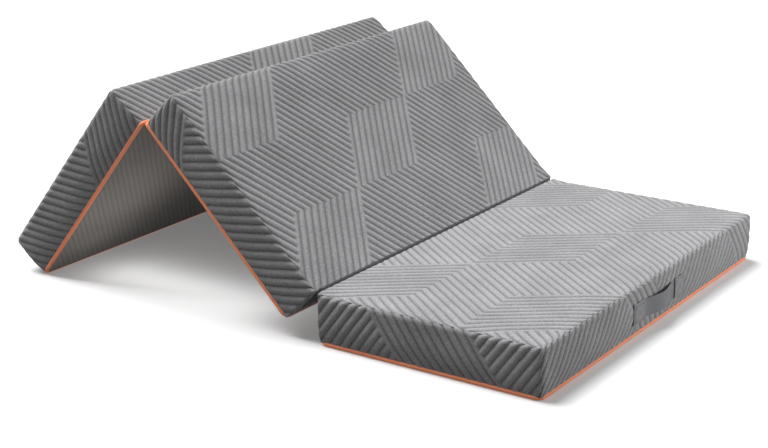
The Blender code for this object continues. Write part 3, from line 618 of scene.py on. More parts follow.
def ribbed_knit():
    """Heathered grey knit with painted shade in its grooves and between its loops."""
    made, tree, shader = new_material("ribbed_knit", KNIT_GREY, roughness=0.92, sheen=0.12)
    place = attribute(tree, "knit_place", "Vector")
    height = rib_height(tree, place, RIB_SPACING, RIB_SLOPE, BAND_REPEAT, RIB_SHARPNESS, BAND_FADE)
    # Painted shade: the knit turns darker towards the bottom of each groove
    groove = sums(tree, "POWER", sums(tree, "SUBTRACT", 1.0, height), GROOVE_SHADE)
    yarn = mix_colour(tree, groove, KNIT_GREY, KNIT_GROOVE_PAINTED_SHADE)
    loops = use_group(tree, knit_loops, Place=place)
    # Painted shade between the knit's loops, where they lie low
    dye_and_paint_shade(tree, shader, yarn, surface_of(tree), KNIT_SPECK, strength=1.15, relief=loops, contrast=0.16, darkest=0.92)
    relief = sums(tree, "MULTIPLY_ADD", height, 1.2, sums(tree, "MULTIPLY", loops, 0.5))
    bumped(tree, shader, relief, distance=0.0006, strength=0.7)
    return made


knit_material = ribbed_knit()
rib_tree = chevron_ribs()
covers = {}
for panel in PANELS:
    mesh, places, loose, plain = cover_cage(panel)
    covers[panel] = (put(panel + "_knit_cover", mesh), places, loose, plain)
blow_up(covers.values())
for panel, (obj, *_) in covers.items():
    rest_against_neighbours(obj, panel)
    smooth = obj.modifiers.new("smooth", "SUBSURF")
    smooth.levels = smooth.render_levels = CAGE_SMOOTHING
    add_tree(obj, rib_tree, {"Knit": knit_material})
    bake_shape(obj, STANCES[panel])
    close_bottom(obj.data)
    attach(obj, panel + "_panel")
    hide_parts(panel + "_cover")

# Foam cores
#
# Inside each cover lie two foam blocks: a firm base of off-white polyurethane foam and a softer comfort layer of
# pale blue memory foam on it. They are cut from large blocks, so their corners are crisp and their pores open.

FOAM_INSET = 0.0073
FOAM_CORNER = 0.012
FOAM_CORNER_STEPS = 6
FOAM_EDGE_STEPS = 4
FOAM_EDGE = {"base_foam": 0.003, "comfort_foam": 0.011}
FOAM_LAYERS = {"base_foam": (0.0023, 0.0953), "comfort_foam": (0.0956, 0.1303)}
FOAM_COLOURS = {"base_foam": (0.80, 0.79, 0.74, 1.0), "comfort_foam": (0.52, 0.66, 0.77, 1.0)}
FOAM_PORES = 620.0
FOAM_PORE_SHADE = 0.7
PIPING_INSETS = {"free": 0.0, "top fold": 0.0045, "bottom fold": 0.0004}


def open_cell_foam(name, colour):
    """Cut foam: fine open pores with painted shade that makes them darker than the walls between them."""
    made, tree, shader = new_material(name, colour, roughness=0.95)
    pores = add_node(tree, "ShaderNodeTexVoronoi", Vector=surface_of(tree), Scale=FOAM_PORES).outputs["Distance"]
    # Painted shade inside the pores
    dark = [value * FOAM_PORE_SHADE for value in colour[:3]] + [1.0]
    foam = mix_colour(tree, sums(tree, "SUBTRACT", 1.0, pores), colour, dark)
    tree.links.new(foam, shader.inputs["Base Color"])
    bumped(tree, shader, pores, distance=0.0004)
    return made


def mesh_of(bm, name):
    mesh = bpy.data.meshes.new(name)
    bm.to_mesh(mesh)
    bm.free()
    return mesh


def foam_block(panel, low, high, edge_round):
    left, right = (HALF_LENGTH - FOAM_INSET - PIPING_INSETS[kind] for kind in PANELS[panel][:2])
    half = HALF_WIDTH - FOAM_INSET
    bm = bmesh.new()
    for vert in bmesh.ops.create_cube(bm, size=1.0)["verts"]:
        vert.co = (
            right if vert.co.x > 0 else -left,
            half if vert.co.y > 0 else -half,
            high if vert.co.z > 0 else low,
        )

    def climb(edge):
        return abs(edge.verts[0].co.z - edge.verts[1].co.z)

    upright = [edge for edge in bm.edges if climb(edge) > edge_round / 2]
    bmesh.ops.bevel(bm, geom=upright, offset=FOAM_CORNER, segments=FOAM_CORNER_STEPS, profile=0.5, affect="EDGES")
    level = [edge for edge in bm.edges if climb(edge) < edge_round / 2]
    rims = [edge for edge in level if edge.verts[0].co.z > (low + high) / 2]
    bmesh.ops.bevel(bm, geom=rims, offset=edge_round, segments=FOAM_EDGE_STEPS, profile=0.5, affect="EDGES")
    return mesh_of(bm, "foam")


foam_materials = {layer: open_cell_foam(layer, colour) for layer, colour in FOAM_COLOURS.items()}
for panel in PANELS:
    for layer, (low, high) in FOAM_LAYERS.items():
        mesh = foam_block(panel, low, high, FOAM_EDGE[layer])
        mesh.transform(STANCES[panel])
        mesh.materials.append(foam_materials[layer])
        foam = put(f"{panel}_{layer}_block", mesh)
        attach(foam, panel + "_panel")
        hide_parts(f"{panel}_{layer}")

# Piping
#
# A cord in a bias-cut orange cloth sleeve is sewn into the bottom seam all round each panel. It stands proud of
# the cover, so that it takes the wear when the mattress is dragged over the floor.

PIPING_RADIUS = 0.0054
PIPING_HEIGHT = 0.0056
PIPING_OUTSET = 0.0007
PIPING_CORNERS = {"free": 0.016, "top fold": 0.016, "bottom fold": 0.007}
PIPING_CORNER_STEPS = 8
PIPING_STEP = 0.012
PIPING_SIDES = 14
PIPING_ORANGE = (1.00, 0.345, 0.17, 1.0)
PIPING_SHADOW = (0.92, 0.235, 0.10, 1.0)
# Painted glow: how strongly the piping shines by itself
PIPING_PAINTED_GLOW = 0.09
PIPING_YARN = 0.0009
PIPING_SPECK = 0.004
UPPER_YARNS = 0.55
LOWER_YARNS = 0.45


def rounded_outline(panel, end_insets, side_inset, spacing):
    """Evenly spaced points round a panel, inset by so much at its left and right ends and at its sides."""
    points = []
    for sign_x, sign_y, first in ((1, -1, -90), (1, 1, 0), (-1, 1, 90), (-1, -1, 180)):
        end = 0 if sign_x < 0 else 1
        radius = PIPING_CORNERS[PANELS[panel][end]]
        across = sign_y * (HALF_WIDTH - side_inset - radius)
        centre = Vector((sign_x * (HALF_LENGTH - end_insets[end] - radius), across))
        for count in range(PIPING_CORNER_STEPS + 1):
            angle = math.radians(first + 90 * count / PIPING_CORNER_STEPS)
            points.append(centre + radius * Vector((math.cos(angle), math.sin(angle))))
    spread = []
    for here, there in zip(points, points[1:] + points[:1]):
        count = max(1, math.ceil((there - here).length / spacing))
        spread += [here.lerp(there, number / count) for number in range(count)]
    return spread


def thin_lines(name, paths, closed=False):
    """Lines along some paths, for a tree to dress."""
    data = bpy.data.curves.new(name, "CURVE")
    data.dimensions = "3D"
    for path in paths:
        spline = data.splines.new("POLY")
        spline.points.add(len(path) - 1)
        for spot, place in zip(spline.points, path):
            spot.co = (*place, 1.0)
        spline.use_cyclic_u = closed
    return put(name, data)


def piped_cord():
    """Sweeps a round sleeve along a line, and notes each point's place along and round it."""
    tree, (line, radius, sides, cloth), end = tree_with(
        "Geometry", "piped_cord", "Cord", Line="Geometry", Radius=PIPING_RADIUS, Sides=PIPING_SIDES, Cloth="Material"
    )
    ring = add_node(tree, "GeometryNodeCurvePrimitiveCircle", Radius=radius, Resolution=sides).outputs[0]
    noted = []
    for curve, name in ((line, "along"), (ring, "around")):
        length = add_node(tree, "GeometryNodeSplineParameter").outputs["Length"]
        kept = add_node(tree, "GeometryNodeStoreNamedAttribute", Geometry=curve, Name=name, Value=length)
        noted.append(kept.outputs[0])
    sweep = add_node(tree, "GeometryNodeCurveToMesh", Curve=noted[0], Profile_Curve=noted[1])
    return finish_tree(tree, sweep.outputs[0], cloth, end)


def ridges(tree, value, width):
    """Round ridges side by side, from 0 between them to 1 on the crest."""
    turn = sums(tree, "MULTIPLY", sums(tree, "DIVIDE", value, width), math.pi)
    return sums(tree, "ABSOLUTE", sums(tree, "SINE", turn))


def weave_group():
    """Two sets of yarns that cross over and under each other."""
    tree, (along, across, yarn), end = tree_with("Shader", "weave", "Height", Along=0.0, Across=0.0, Yarn=0.0006)
    one = ridges(tree, sums(tree, "ADD", across, along), yarn)
    two = ridges(tree, sums(tree, "SUBTRACT", along, across), yarn)
    height = sums(tree, "MULTIPLY_ADD", two, LOWER_YARNS, sums(tree, "MULTIPLY", one, UPPER_YARNS))
    tree.links.new(height, end)
    return tree


weave = weave_group()


def orange_cloth():
    """Closely woven orange polyester with painted shade between its yarns, and a painted glow: a faint orange emission
    that brightens it where little light falls.
    """
    made, tree, shader = new_material("orange_piping", PIPING_ORANGE, roughness=0.6, sheen=0.4)
    shader.inputs["Sheen Tint"].default_value = PIPING_ORANGE
    # Painted glow: a faint orange emission that brightens the piping where little light reaches it
    shader.inputs["Emission Color"].default_value = PIPING_ORANGE
    shader.inputs["Emission Strength"].default_value = PIPING_PAINTED_GLOW
    along, around = attribute(tree, "along"), attribute(tree, "around")
    height = use_group(tree, weave, Along=along, Across=around, Yarn=PIPING_YARN)
    cloth = mix_colour(tree, height, PIPING_SHADOW, PIPING_ORANGE)
    dye_and_paint_shade(tree, shader, cloth, surface_of(tree), PIPING_SPECK, strength=0.22)
    bumped(tree, shader, height, distance=0.0002)
    return made


piping_cloth = orange_cloth()
cord_tree = piped_cord()
for panel, kinds in PANELS.items():
    insets = [PIPING_INSETS[kind] + PIPING_RADIUS - (PIPING_OUTSET if kind == "free" else 0.0) for kind in kinds[:2]]
    outline = rounded_outline(panel, insets, PIPING_RADIUS - 2 * PIPING_OUTSET, PIPING_STEP)
    piping = thin_lines(panel + "_bias_piping", [[(x, y, PIPING_HEIGHT) for x, y in outline]], closed=True)
    add_tree(piping, cord_tree, {"Cloth": piping_cloth})
    piping = bake_shape(piping, STANCES[panel])
    piping.data.shade_smooth()
    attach(piping, panel + "_panel")
    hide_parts(panel + "_piping")

# Bottom cloth
#
# The underside of each panel is one piece of hard-wearing grey-brown cloth with faint slanting ribs. It is
# stretched flat over the foam and sewn to the piping all round.

BOTTOM_THICKNESS = 0.0012
BOTTOM_TUCK = 0.0065
BOTTOM_RIB = 0.0195
BOTTOM_RIB_ROUND = 0.6
BOTTOM_BROWN = (0.275, 0.255, 0.238, 1.0)
# Painted shade: the colour of the cloth in the valleys between its ribs
BOTTOM_RIB_PAINTED_SHADE = (0.185, 0.170, 0.158, 1.0)
BOTTOM_YARN = 0.0011
BOTTOM_SPECK = 0.0035
BOTTOM_RIM_STEP = 0.02
BOTTOM_GRID = 0.08


def ribbed_bottom_cloth():
    """Firm twill whose ribs slant across the panel, with its yarns along and across, and painted shade in the valleys
    between its ribs and between its yarns.
    """
    made, tree, shader = new_material("bottom_cloth", BOTTOM_BROWN, roughness=0.9, sheen=0.1)
    place = attribute(tree, "cloth_place", "Vector")
    x, y, _ = parts_of(tree, place)
    slanted = sums(tree, "MULTIPLY_ADD", x, RIB_SLOPE, y)
    rib = sums(tree, "POWER", ridges(tree, slanted, BOTTOM_RIB), BOTTOM_RIB_ROUND)
    yarns = use_group(tree, weave, Along=x, Across=y, Yarn=BOTTOM_YARN)
    # Painted shade in the valleys between the ribs and between the yarns
    cloth = mix_colour(tree, rib, BOTTOM_RIB_PAINTED_SHADE, BOTTOM_BROWN)
    dye_and_paint_shade(tree, shader, cloth, place, BOTTOM_SPECK, strength=0.35, relief=yarns, contrast=0.25, darkest=0.85)
    bumped(tree, shader, sums(tree, "MULTIPLY_ADD", yarns, 0.25, rib), distance=0.0008)
    return made


def bottom_sheet(panel):
    """A flat cloth cut to the panel's rounded outline."""
    insets = [PIPING_INSETS[kind] + BOTTOM_TUCK for kind in PANELS[panel][:2]]
    outline = rounded_outline(panel, insets, BOTTOM_TUCK, BOTTOM_RIM_STEP)
    bm = bmesh.new()
    rim = [bm.verts.new((point.x, point.y, 0.0)) for point in outline]
    bm.faces.new(rim[::-1])
    for normal, reach in ((Vector((1, 0, 0)), HALF_LENGTH), (Vector((0, 1, 0)), HALF_WIDTH)):
        for count in range(1, int(2 * reach / BOTTOM_GRID)):
            parts = bm.verts[:] + bm.edges[:] + bm.faces[:]
            spot = normal * (count * BOTTOM_GRID - reach)
            bmesh.ops.bisect_plane(bm, geom=parts, plane_co=spot, plane_no=normal)
    return put(panel + "_bottom_cloth", mesh_of(bm, panel + "_bottom_cloth"))


def round_edges(obj, name, width):
    edges = obj.modifiers.new(name, "BEVEL")
    edges.width = width
    edges.segments = 2
    edges.limit_method = "ANGLE"


def thickened(cloth, thickness, offset, edge_share=0.0):
    """A cloth with its thickness and its rounded edge, and its area. Each point keeps its place for the weave."""
    area = sum(polygon.area for polygon in cloth.data.polygons)
    thick = cloth.modifiers.new("thickness", "SOLIDIFY")
    thick.thickness = thickness
    thick.offset = offset
    if edge_share:
        round_edges(cloth, "round_edge", thickness * edge_share)
    cloth = bake_shape(cloth)
    places = np.empty(len(cloth.data.vertices) * 3)
    cloth.data.vertices.foreach_get("co", places)
    cloth.data.attributes.new("cloth_place", "FLOAT_VECTOR", "POINT").data.foreach_set("vector", places)
    return cloth, area


bottom_material = ribbed_bottom_cloth()
for panel in PANELS:
    cloth, area = thickened(bottom_sheet(panel), BOTTOM_THICKNESS, -1.0)
    cloth.data.transform(STANCES[panel])
    cloth.data.materials.append(bottom_material)
    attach(cloth, panel + "_panel")
    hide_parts(panel + "_bottom_fabric")

# Fold cloths
#
# The panels hang together by cloth. At the top fold a dark binding runs down one panel's end, over the fold line
# and down the other panel's end, held by two rows of stitches each. At the bottom fold an orange binding joins
# the two pipings.

BINDING_THICKNESS = 0.0009
BINDING_HEIGHT = 0.085
BINDING_END = 0.018
BINDING_GREY = (0.110, 0.110, 0.116, 1.0)
# Painted shade: the colour of the binding between its ribs
BINDING_RIB_PAINTED_SHADE = (0.060, 0.060, 0.064, 1.0)
BINDING_RIB = 0.0085
BINDING_RIB_ROUND = 0.5
BINDING_YARN = 0.001
BINDING_SPECK = 0.003
BINDING_GAP = 0.0008
BINDING_DROP = 0.0018
BINDING_BENDS = 8
FOLD_STEP = 0.01
TOP_FOLD_HEIGHT = PANEL_THICKNESS + 0.0004
TOP_FOLD_GAP = 0.0005
TOP_FOLD_RISE = 0.0002
TOP_FOLD_REACH = 0.0008
RIDGE_THICKNESS = 0.0008
RIDGE_REACH = 0.006
RIDGE_GAP = 0.0008
RIDGE_LIFT = 0.0002
RIDGE_DIP = 0.0004
RIDGE_BENDS = 4
RIDGE_BLEND = 0.001
STITCH_LENGTH = 0.0030
STITCH_SPACING = 0.0042
STITCH_RADIUS = 0.00038
THREAD_SPECK = 0.0008
BINDING_THREAD = (0.200, 0.200, 0.210, 1.0)
BINDING_THREAD_RADIUS = 0.00028
BINDING_ROWS = (0.006, 0.012)


def cloth_grid(name, rows, columns, place_of):
    """A cloth whose points come from their shares along and across it."""
    places = [place_of(row / rows, column / columns) for row in range(rows + 1) for column in range(columns + 1)]
    faces = []
    for row in range(rows):
        for column in range(columns):
            here = row * (columns + 1) + column
            faces.append((here, here + 1, here + columns + 2, here + columns + 1))
    mesh = bpy.data.meshes.new(name)
    mesh.from_pydata(places, [], faces)
    mesh.shade_smooth()
    return put(name, mesh)


def woven_binding():
    """Dark grey tape with flat ribs along the fold, and painted shade between its ribs and between its yarns."""
    made, tree, shader = new_material("fold_binding", BINDING_GREY, roughness=0.9, sheen=0.1)
    surface = surface_of(tree)
    across = attribute(tree, "across")
    rib = sums(tree, "POWER", ridges(tree, across, BINDING_RIB), BINDING_RIB_ROUND)
    yarns = use_group(tree, weave, Along=parts_of(tree, surface)[1], Across=across, Yarn=BINDING_YARN)
    # Painted shade between the ribs and between the yarns
    cloth = mix_colour(tree, rib, BINDING_RIB_PAINTED_SHADE, BINDING_GREY)
    dye_and_paint_shade(tree, shader, cloth, surface, BINDING_SPECK, strength=0.4, relief=yarns, contrast=0.4, darkest=0.75)
    bumped(tree, shader, sums(tree, "MULTIPLY_ADD", yarns, 0.3, rib), distance=0.0007)
    return made


def folded_strip(name, path, half, material, thickness, blend_ends, nodes):
    """A cloth strip that follows a path across a fold, all along the fold."""
    columns, last = math.ceil(2 * half / FOLD_STEP), len(path) - 1

    def place_of(across, along):
        x, _, z = path[round(across * last)]
        return x, half * (2 * along - 1), z

    strip = cloth_grid(name, last, columns, place_of)
    lengths = np.cumsum([0.0] + [(Vector(b) - Vector(a)).length for a, b in zip(path, path[1:])])
    across = strip.data.attributes.new("across", "FLOAT", "POINT")
    across.data.foreach_set("value", np.repeat(lengths, columns + 1))
    strip, _ = thickened(strip, thickness, 0.0)
    strip.data.materials.append(material)
    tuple(blend_ends[0])
    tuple(blend_ends[1])
    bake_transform(strip)
    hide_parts(*nodes)


def stitches():
    """Sets short thread bars along a line, each turned the way that the line runs."""
    tree, (line, spacing, length, radius, thread), end = tree_with(
        "Geometry",
        "stitches",
        "Stitches",
        Line="Geometry",
        Spacing=STITCH_SPACING,
        Length=STITCH_LENGTH,
        Radius=STITCH_RADIUS,
        Thread="Material",
    )
    spots = add_node(tree, "GeometryNodeCurveToPoints", mode="LENGTH", Curve=line, Length=spacing).outputs
    bar = add_node(tree, "GeometryNodeMeshCylinder", Vertices=6, Radius=radius, Depth=length).outputs["Mesh"]
    turn = add_node(tree, "FunctionNodeAlignRotationToVector", axis="Z", Vector=spots["Tangent"]).outputs[0]
    bars = add_node(tree, "GeometryNodeInstanceOnPoints", Points=spots["Points"], Instance=bar, Rotation=turn)
    return finish_tree(tree, bars.outputs[0], thread, end)


def specked_thread(name, colour, roughness, speck, strength):
    """Plain thread in fine lighter and darker specks."""
    made, tree, shader = new_material(name, colour, roughness)
    dye_and_paint_shade(tree, shader, colour, surface_of(tree), speck, strength)
    return made


def sewn(name, paths, sizes, body):
    """Rows of stitches that ride with a panel."""
    seams = thin_lines(name, paths)
    add_tree(seams, stitch_tree, sizes)
    seams = bake_shape(seams)
    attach(seams, body)


def on_panel(panel, x, z):
    return tuple(STANCES[panel] @ Vector((x, 0.0, z)))


binding_foot = TOP_FOLD_HEIGHT - BINDING_DROP - BINDING_HEIGHT
binding_levels = [binding_foot + BINDING_HEIGHT * bend / BINDING_BENDS for bend in range(BINDING_BENDS + 1)]
folded_strip(
    "top_fold_binding",
    [on_panel("front", BINDING_GAP - HALF_LENGTH, level) for level in binding_levels]
    + [on_panel("front", TOP_FOLD_GAP - HALF_LENGTH, TOP_FOLD_HEIGHT + TOP_FOLD_RISE)]
    + [on_panel("middle", HALF_LENGTH - TOP_FOLD_GAP, TOP_FOLD_HEIGHT + TOP_FOLD_RISE)]
    + [on_panel("middle", HALF_LENGTH - BINDING_GAP, level) for level in reversed(binding_levels)],
    HALF_WIDTH - BINDING_END,
    woven_binding(),
    BINDING_THICKNESS,
    [on_panel("front", reach - HALF_LENGTH, TOP_FOLD_HEIGHT) for reach in (TOP_FOLD_GAP, -TOP_FOLD_REACH)],
    ("front_fold_seam", "front_fold_gusset_front", "front_fold_gusset_middle"),
)

stitch_tree = stitches()
binding_thread = specked_thread("binding_thread", BINDING_THREAD, roughness=0.6, speck=THREAD_SPECK, strength=0.8)
row_reach = HALF_WIDTH - BINDING_END - STITCH_SPACING
for panel, way in (("front", -1), ("middle", 1)):
    rows = []
    for row in BINDING_ROWS:
        face = HALF_LENGTH - BINDING_GAP + BINDING_THICKNESS / 2
        x, _, z = on_panel(panel, way * face, binding_foot + row)
        rows.append([(x, -row_reach, z), (x, row_reach, z)])
    sizes = {"Thread": binding_thread, "Radius": BINDING_THREAD_RADIUS}
    sewn(panel + "_binding_stitches", rows, sizes, panel + "_panel")

ridge_ways = [RIDGE_REACH * (1 - bend / RIDGE_BENDS) + RIDGE_GAP for bend in range(RIDGE_BENDS)]
ridge_middle = Vector(on_panel("middle", -HALF_LENGTH, -RIDGE_DIP))
folded_strip(
    "ridge_binding",
    [on_panel("middle", away - HALF_LENGTH, RIDGE_LIFT) for away in ridge_ways]
    + [tuple(ridge_middle)]
    + [on_panel("rear", HALF_LENGTH - away, RIDGE_LIFT) for away in reversed(ridge_ways)],
    HALF_WIDTH - PIPING_RADIUS - PIPING_CORNERS["bottom fold"],
    piping_cloth,
    RIDGE_THICKNESS,
    [tuple(ridge_middle + Vector((reach, 0, 0))) for reach in (RIDGE_BLEND, -RIDGE_BLEND)],
    ("rear_fold_seam",),
)

# Carry handle
#
# A strap of dark grey webbing, bowed so that a hand fits behind it. Its ends lie under square patches of grey
# cloth, and each patch is sewn down round its edge and with a cross.

STRAP_BACK = 0.32305
STRAP_GRIP = 0.170
STRAP_END = 0.058
STRAP_HEIGHT = 0.050
STRAP_MIDDLE = 0.066
STRAP_BOW = 0.0158
STRAP_THICKNESS = 0.0018
STRAP_CUP = 0.0011
STRAP_WAIST = 0.05
STRAP_ROWS = 12
STRAP_STEPS = 40
STRAP_GREY = (0.155, 0.158, 0.170, 1.0)
STRAP_YARN = 0.0016
PATCH_FACE = 0.32645
PATCH_THICKNESS = 0.0011
PATCH_MARGIN = 0.003
PATCH_STEP = 0.0023
PATCH_STEP_WIDTH = 0.007
PATCH_GRID = 24
PATCH_GREY = (0.255, 0.255, 0.262, 1.0)
PATCH_YARN = 0.0012
PATCH_THREAD = (0.045, 0.045, 0.050, 1.0)
CLOTH_EDGE_SHARE = 0.3
CLOTH_SPECK = 0.0025
STITCH_INSET = 0.0065
STITCH_RISE = 0.3
STITCH_BENDS = 8


def woven_cloth(name, colour, yarn, contrast, sheen):
    """Plain woven cloth on a side of the mattress, with its yarns along the side and upright, and painted shade between
    the yarns.
    """
    made, tree, shader = new_material(name, colour, roughness=0.82, sheen=sheen)
    place = attribute(tree, "cloth_place", "Vector")
    x, y, z = parts_of(tree, place)
    yarns = use_group(tree, weave, Along=sums(tree, "ADD", x, y), Across=z, Yarn=yarn)
    # Painted shade between the yarns, as deep as the contrast asks
    darkest = 1.0 - contrast / 2
    dye_and_paint_shade(tree, shader, colour, place, CLOTH_SPECK, strength=0.35, relief=yarns, contrast=contrast, darkest=darkest)
    bumped(tree, shader, yarns, distance=0.0003)
    return made


def strap_place(along, across):
    y = (along - 0.5) * (STRAP_GRIP + 2 * STRAP_END)
    bow = math.cos(math.pi / 2 * min(abs(y) / (STRAP_GRIP / 2), 1.0)) ** 2
    edge = 2 * across - 1
    x = STRAP_BACK + STRAP_BOW * bow - STRAP_CUP * bow * edge**2
    return x, y, STRAP_MIDDLE + STRAP_HEIGHT / 2 * edge * (1 - STRAP_WAIST * bow)


strap = cloth_grid("carry_strap", STRAP_STEPS, STRAP_ROWS, strap_place)
strap, area = thickened(strap, STRAP_THICKNESS, 1.0, CLOTH_EDGE_SHARE)
strap.data.materials.append(woven_cloth("strap_webbing", STRAP_GREY, STRAP_YARN, contrast=0.4, sheen=0.35))
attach(strap, "front_panel")
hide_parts("handle_strap")


def patch_place(way, along, across):
    y = way * (STRAP_GRIP / 2 + PATCH_MARGIN + STRAP_END * along)
    half = STRAP_HEIGHT / 2 + PATCH_MARGIN
    from_edge = min((1 - along) * STRAP_END, 2 * half * across, 2 * half * (1 - across))
    lift = smooth_share(from_edge, 0.0, PATCH_STEP_WIDTH)
    return PATCH_FACE - PATCH_STEP * (1 - lift), y, STRAP_MIDDLE + half * (2 * across - 1)


def patch_seam(way, start, stop):
    """A line of stitches that lies on a patch from one place to another."""
    path = []
    for bend in range(STITCH_BENDS + 1):
        along, across = (a + (b - a) * bend / STITCH_BENDS for a, b in zip(start, stop))
        x, y, z = patch_place(way, along, across)
        path.append((x + STITCH_RADIUS * STITCH_RISE, y, z))
    return path


patch_cloth = woven_cloth("patch_cloth", PATCH_GREY, PATCH_YARN, contrast=0.25, sheen=0.2)
seams = []
for way, node in ((-1, "handle_patch_left"), (1, "handle_patch_right")):
    patch = cloth_grid(node + "_cloth", PATCH_GRID, PATCH_GRID, lambda along, across: patch_place(way, along, across))
    patch, area = thickened(patch, PATCH_THICKNESS, float(way), CLOTH_EDGE_SHARE)
    patch.data.materials.append(patch_cloth)
    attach(patch, "front_panel")
    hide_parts(node)
    low, high = STITCH_INSET / STRAP_END, 1 - STITCH_INSET / STRAP_END
    corners = [(low, low), (high, low), (high, high), (low, high)]
    for first, last in ((0, 1), (1, 2), (2, 3), (3, 0), (0, 2), (1, 3)):
        seams.append(patch_seam(way, corners[first], corners[last]))
patch_thread = specked_thread("patch_thread", PATCH_THREAD, roughness=0.6, speck=THREAD_SPECK, strength=0.8)
sewn("patch_stitches", seams, {"Thread": patch_thread}, "front_panel")

# Zippers
#
# A hidden coil zipper low on the far side of each cover lets the cover come off for washing. Its black tape is
# sewn into a shallow pocket, two nylon coils hold each other, and a small cast slider runs on them.

TAPE_FACE = 0.5964
TAPE_THICKNESS = 0.0007
TAPE_HEIGHT = 0.0154
TAPE_END_GAP = 0.0004
TAPE_STEPS = 60
TAPE_ROWS = 6
TAPE_BLACK = (0.028, 0.028, 0.031, 1.0)
TAPE_YARN = 0.0007
COIL_PITCH = 0.0013
COIL_DEPTH = 0.00115
COIL_SPREAD = 0.0021
COIL_OFFSET = 0.00085
COIL_WIRE = 0.00026
COIL_BLACK = (0.040, 0.040, 0.044, 1.0)
COIL_SPECK = 0.0012
SLIDER_LENGTH = 0.011
METAL_GREY = (0.30, 0.30, 0.32, 1.0)
METAL_EDGE_ROUND = 0.00018
METAL_STREAKS = 900.0
METAL_STREAK_STRETCH = (0.2, 1.0, 1.0)
METAL_WORN = 1.5


def zipper_coils():
    """Two long flat springs of nylon, side by side, whose loops pass between each other's."""
    tree, (_, length, pitch, depth, spread, offset, wire, nylon), end = tree_with(
        "Geometry",
        "zipper_coils",
        "Coils",
        Tape="Geometry",
        Length=ZIPPER_LENGTH - SLIDER_LENGTH,
        Pitch=COIL_PITCH,
        Depth=COIL_DEPTH,
        Spread=COIL_SPREAD,
        Offset=COIL_OFFSET,
        Wire=COIL_WIRE,
        Nylon="Material",
    )
    turns = sums(tree, "DIVIDE", length, pitch)
    spring = add_node(tree, "GeometryNodeCurveSpiral", Resolution=8, Rotations=turns, Height=length)
    spring.inputs["Start Radius"].default_value = spring.inputs["End Radius"].default_value = 0.5
    ring = add_node(tree, "GeometryNodeCurvePrimitiveCircle", Resolution=5, Radius=wire).outputs[0]
    both = add_node(tree, "GeometryNodeJoinGeometry")
    for way in (-1.0, 1.0):
        flat = add_node(tree, "ShaderNodeCombineXYZ", X=depth, Y=spread, Z=1.0).outputs[0]
        shift, lag = sums(tree, "MULTIPLY", offset, way), sums(tree, "MULTIPLY", pitch, 0.25 * way)
        aside = add_node(tree, "ShaderNodeCombineXYZ", Y=shift, Z=lag).outputs[0]
        coil = add_node(tree, "GeometryNodeTransform", Geometry=spring.outputs[0], Scale=flat, Translation=aside)
        sweep = add_node(tree, "GeometryNodeCurveToMesh", Curve=coil.outputs[0], Profile_Curve=ring, Fill_Caps=True)
        tree.links.new(sweep.outputs[0], both.inputs[0])
    return finish_tree(tree, both.outputs[0], nylon, end)


def cast_metal():
    """Zinc with a satin plating, worn a little brighter in fine streaks."""
    made, tree, shader = new_material("zipper_metal", METAL_GREY, roughness=0.34, metallic=1.0)
    drawn = add_node(tree, "ShaderNodeVectorMath", operation="MULTIPLY", Vector=surface_of(tree))
    drawn.inputs[1].default_value = METAL_STREAK_STRETCH
    streaks = add_node(tree, "ShaderNodeTexNoise", Vector=drawn.outputs[0], Scale=METAL_STREAKS, Detail=3.0)
    streak = streaks.outputs["Fac"]
    bright = [min(value * METAL_WORN, 1.0) for value in METAL_GREY[:3]] + [1.0]
    tree.links.new(mix_colour(tree, streak, METAL_GREY, bright), shader.inputs["Base Color"])
    tree.links.new(sums(tree, "MULTIPLY_ADD", streak, 0.25, 0.25), shader.inputs["Roughness"])
    bumped(tree, shader, streak, distance=0.00004)
    return made


coil_tree = zipper_coils()
coil_nylon = specked_thread("coil_nylon", COIL_BLACK, roughness=0.38, speck=COIL_SPECK, strength=0.5)
tape_cloth = woven_cloth("zipper_tape", TAPE_BLACK, TAPE_YARN, contrast=0.5, sheen=0.1)
zipper_metal = cast_metal()
zipper_middle = COVER_SEAM_HEIGHT + ZIPPER_POCKET_HEIGHT / 2
half = ZIPPER_LENGTH / 2 - TAPE_END_GAP
coil_start = Matrix.Translation(((SLIDER_LENGTH - ZIPPER_LENGTH) / 2, TAPE_FACE + COIL_DEPTH / 2, zipper_middle))
lying_along_x = Matrix(((0, 0, 1, 0), (1, 0, 0, 0), (0, 1, 0, 0), (0, 0, 0, 1)))


def tape_place(along, across):
    return half * (1 - 2 * along), TAPE_FACE, zipper_middle + TAPE_HEIGHT * (across - 0.5)


for panel in PANELS:
    tape = cloth_grid(panel + "_zipper_ribbon", TAPE_STEPS, TAPE_ROWS, tape_place)
    tape, area = thickened(tape, TAPE_THICKNESS, -1.0, CLOTH_EDGE_SHARE)
    tape.data.transform(STANCES[panel])
    tape.data.materials.append(tape_cloth)
    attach(tape, panel + "_panel")
    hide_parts(panel + "_zipper_tape")

    coils = thin_lines(panel + "_zipper_coils", [[(0.0, 0.0, 0.0), (0.0, 0.0, 0.001)]])
    add_tree(coils, coil_tree, {"Nylon": coil_nylon})
    coils = bake_shape(coils, STANCES[panel] @ coil_start @ lying_along_x)
    coils.data.shade_smooth()
    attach(coils, panel + "_panel")

    for piece in ("zipper_slider", "zipper_pull"):
        metal = bpy.data.objects[f"{panel}_{piece}"]
        metal.data.materials.clear()
        metal.data.materials.append(zipper_metal)
        round_edges(metal, "worn_edges", METAL_EDGE_ROUND)

# Studio
#
# A plain pale floor under soft light from above and behind the tent, with a softer lamp on the handle's side. Under
# the tent one small lamp lights the cloth above it, and another the floor below.

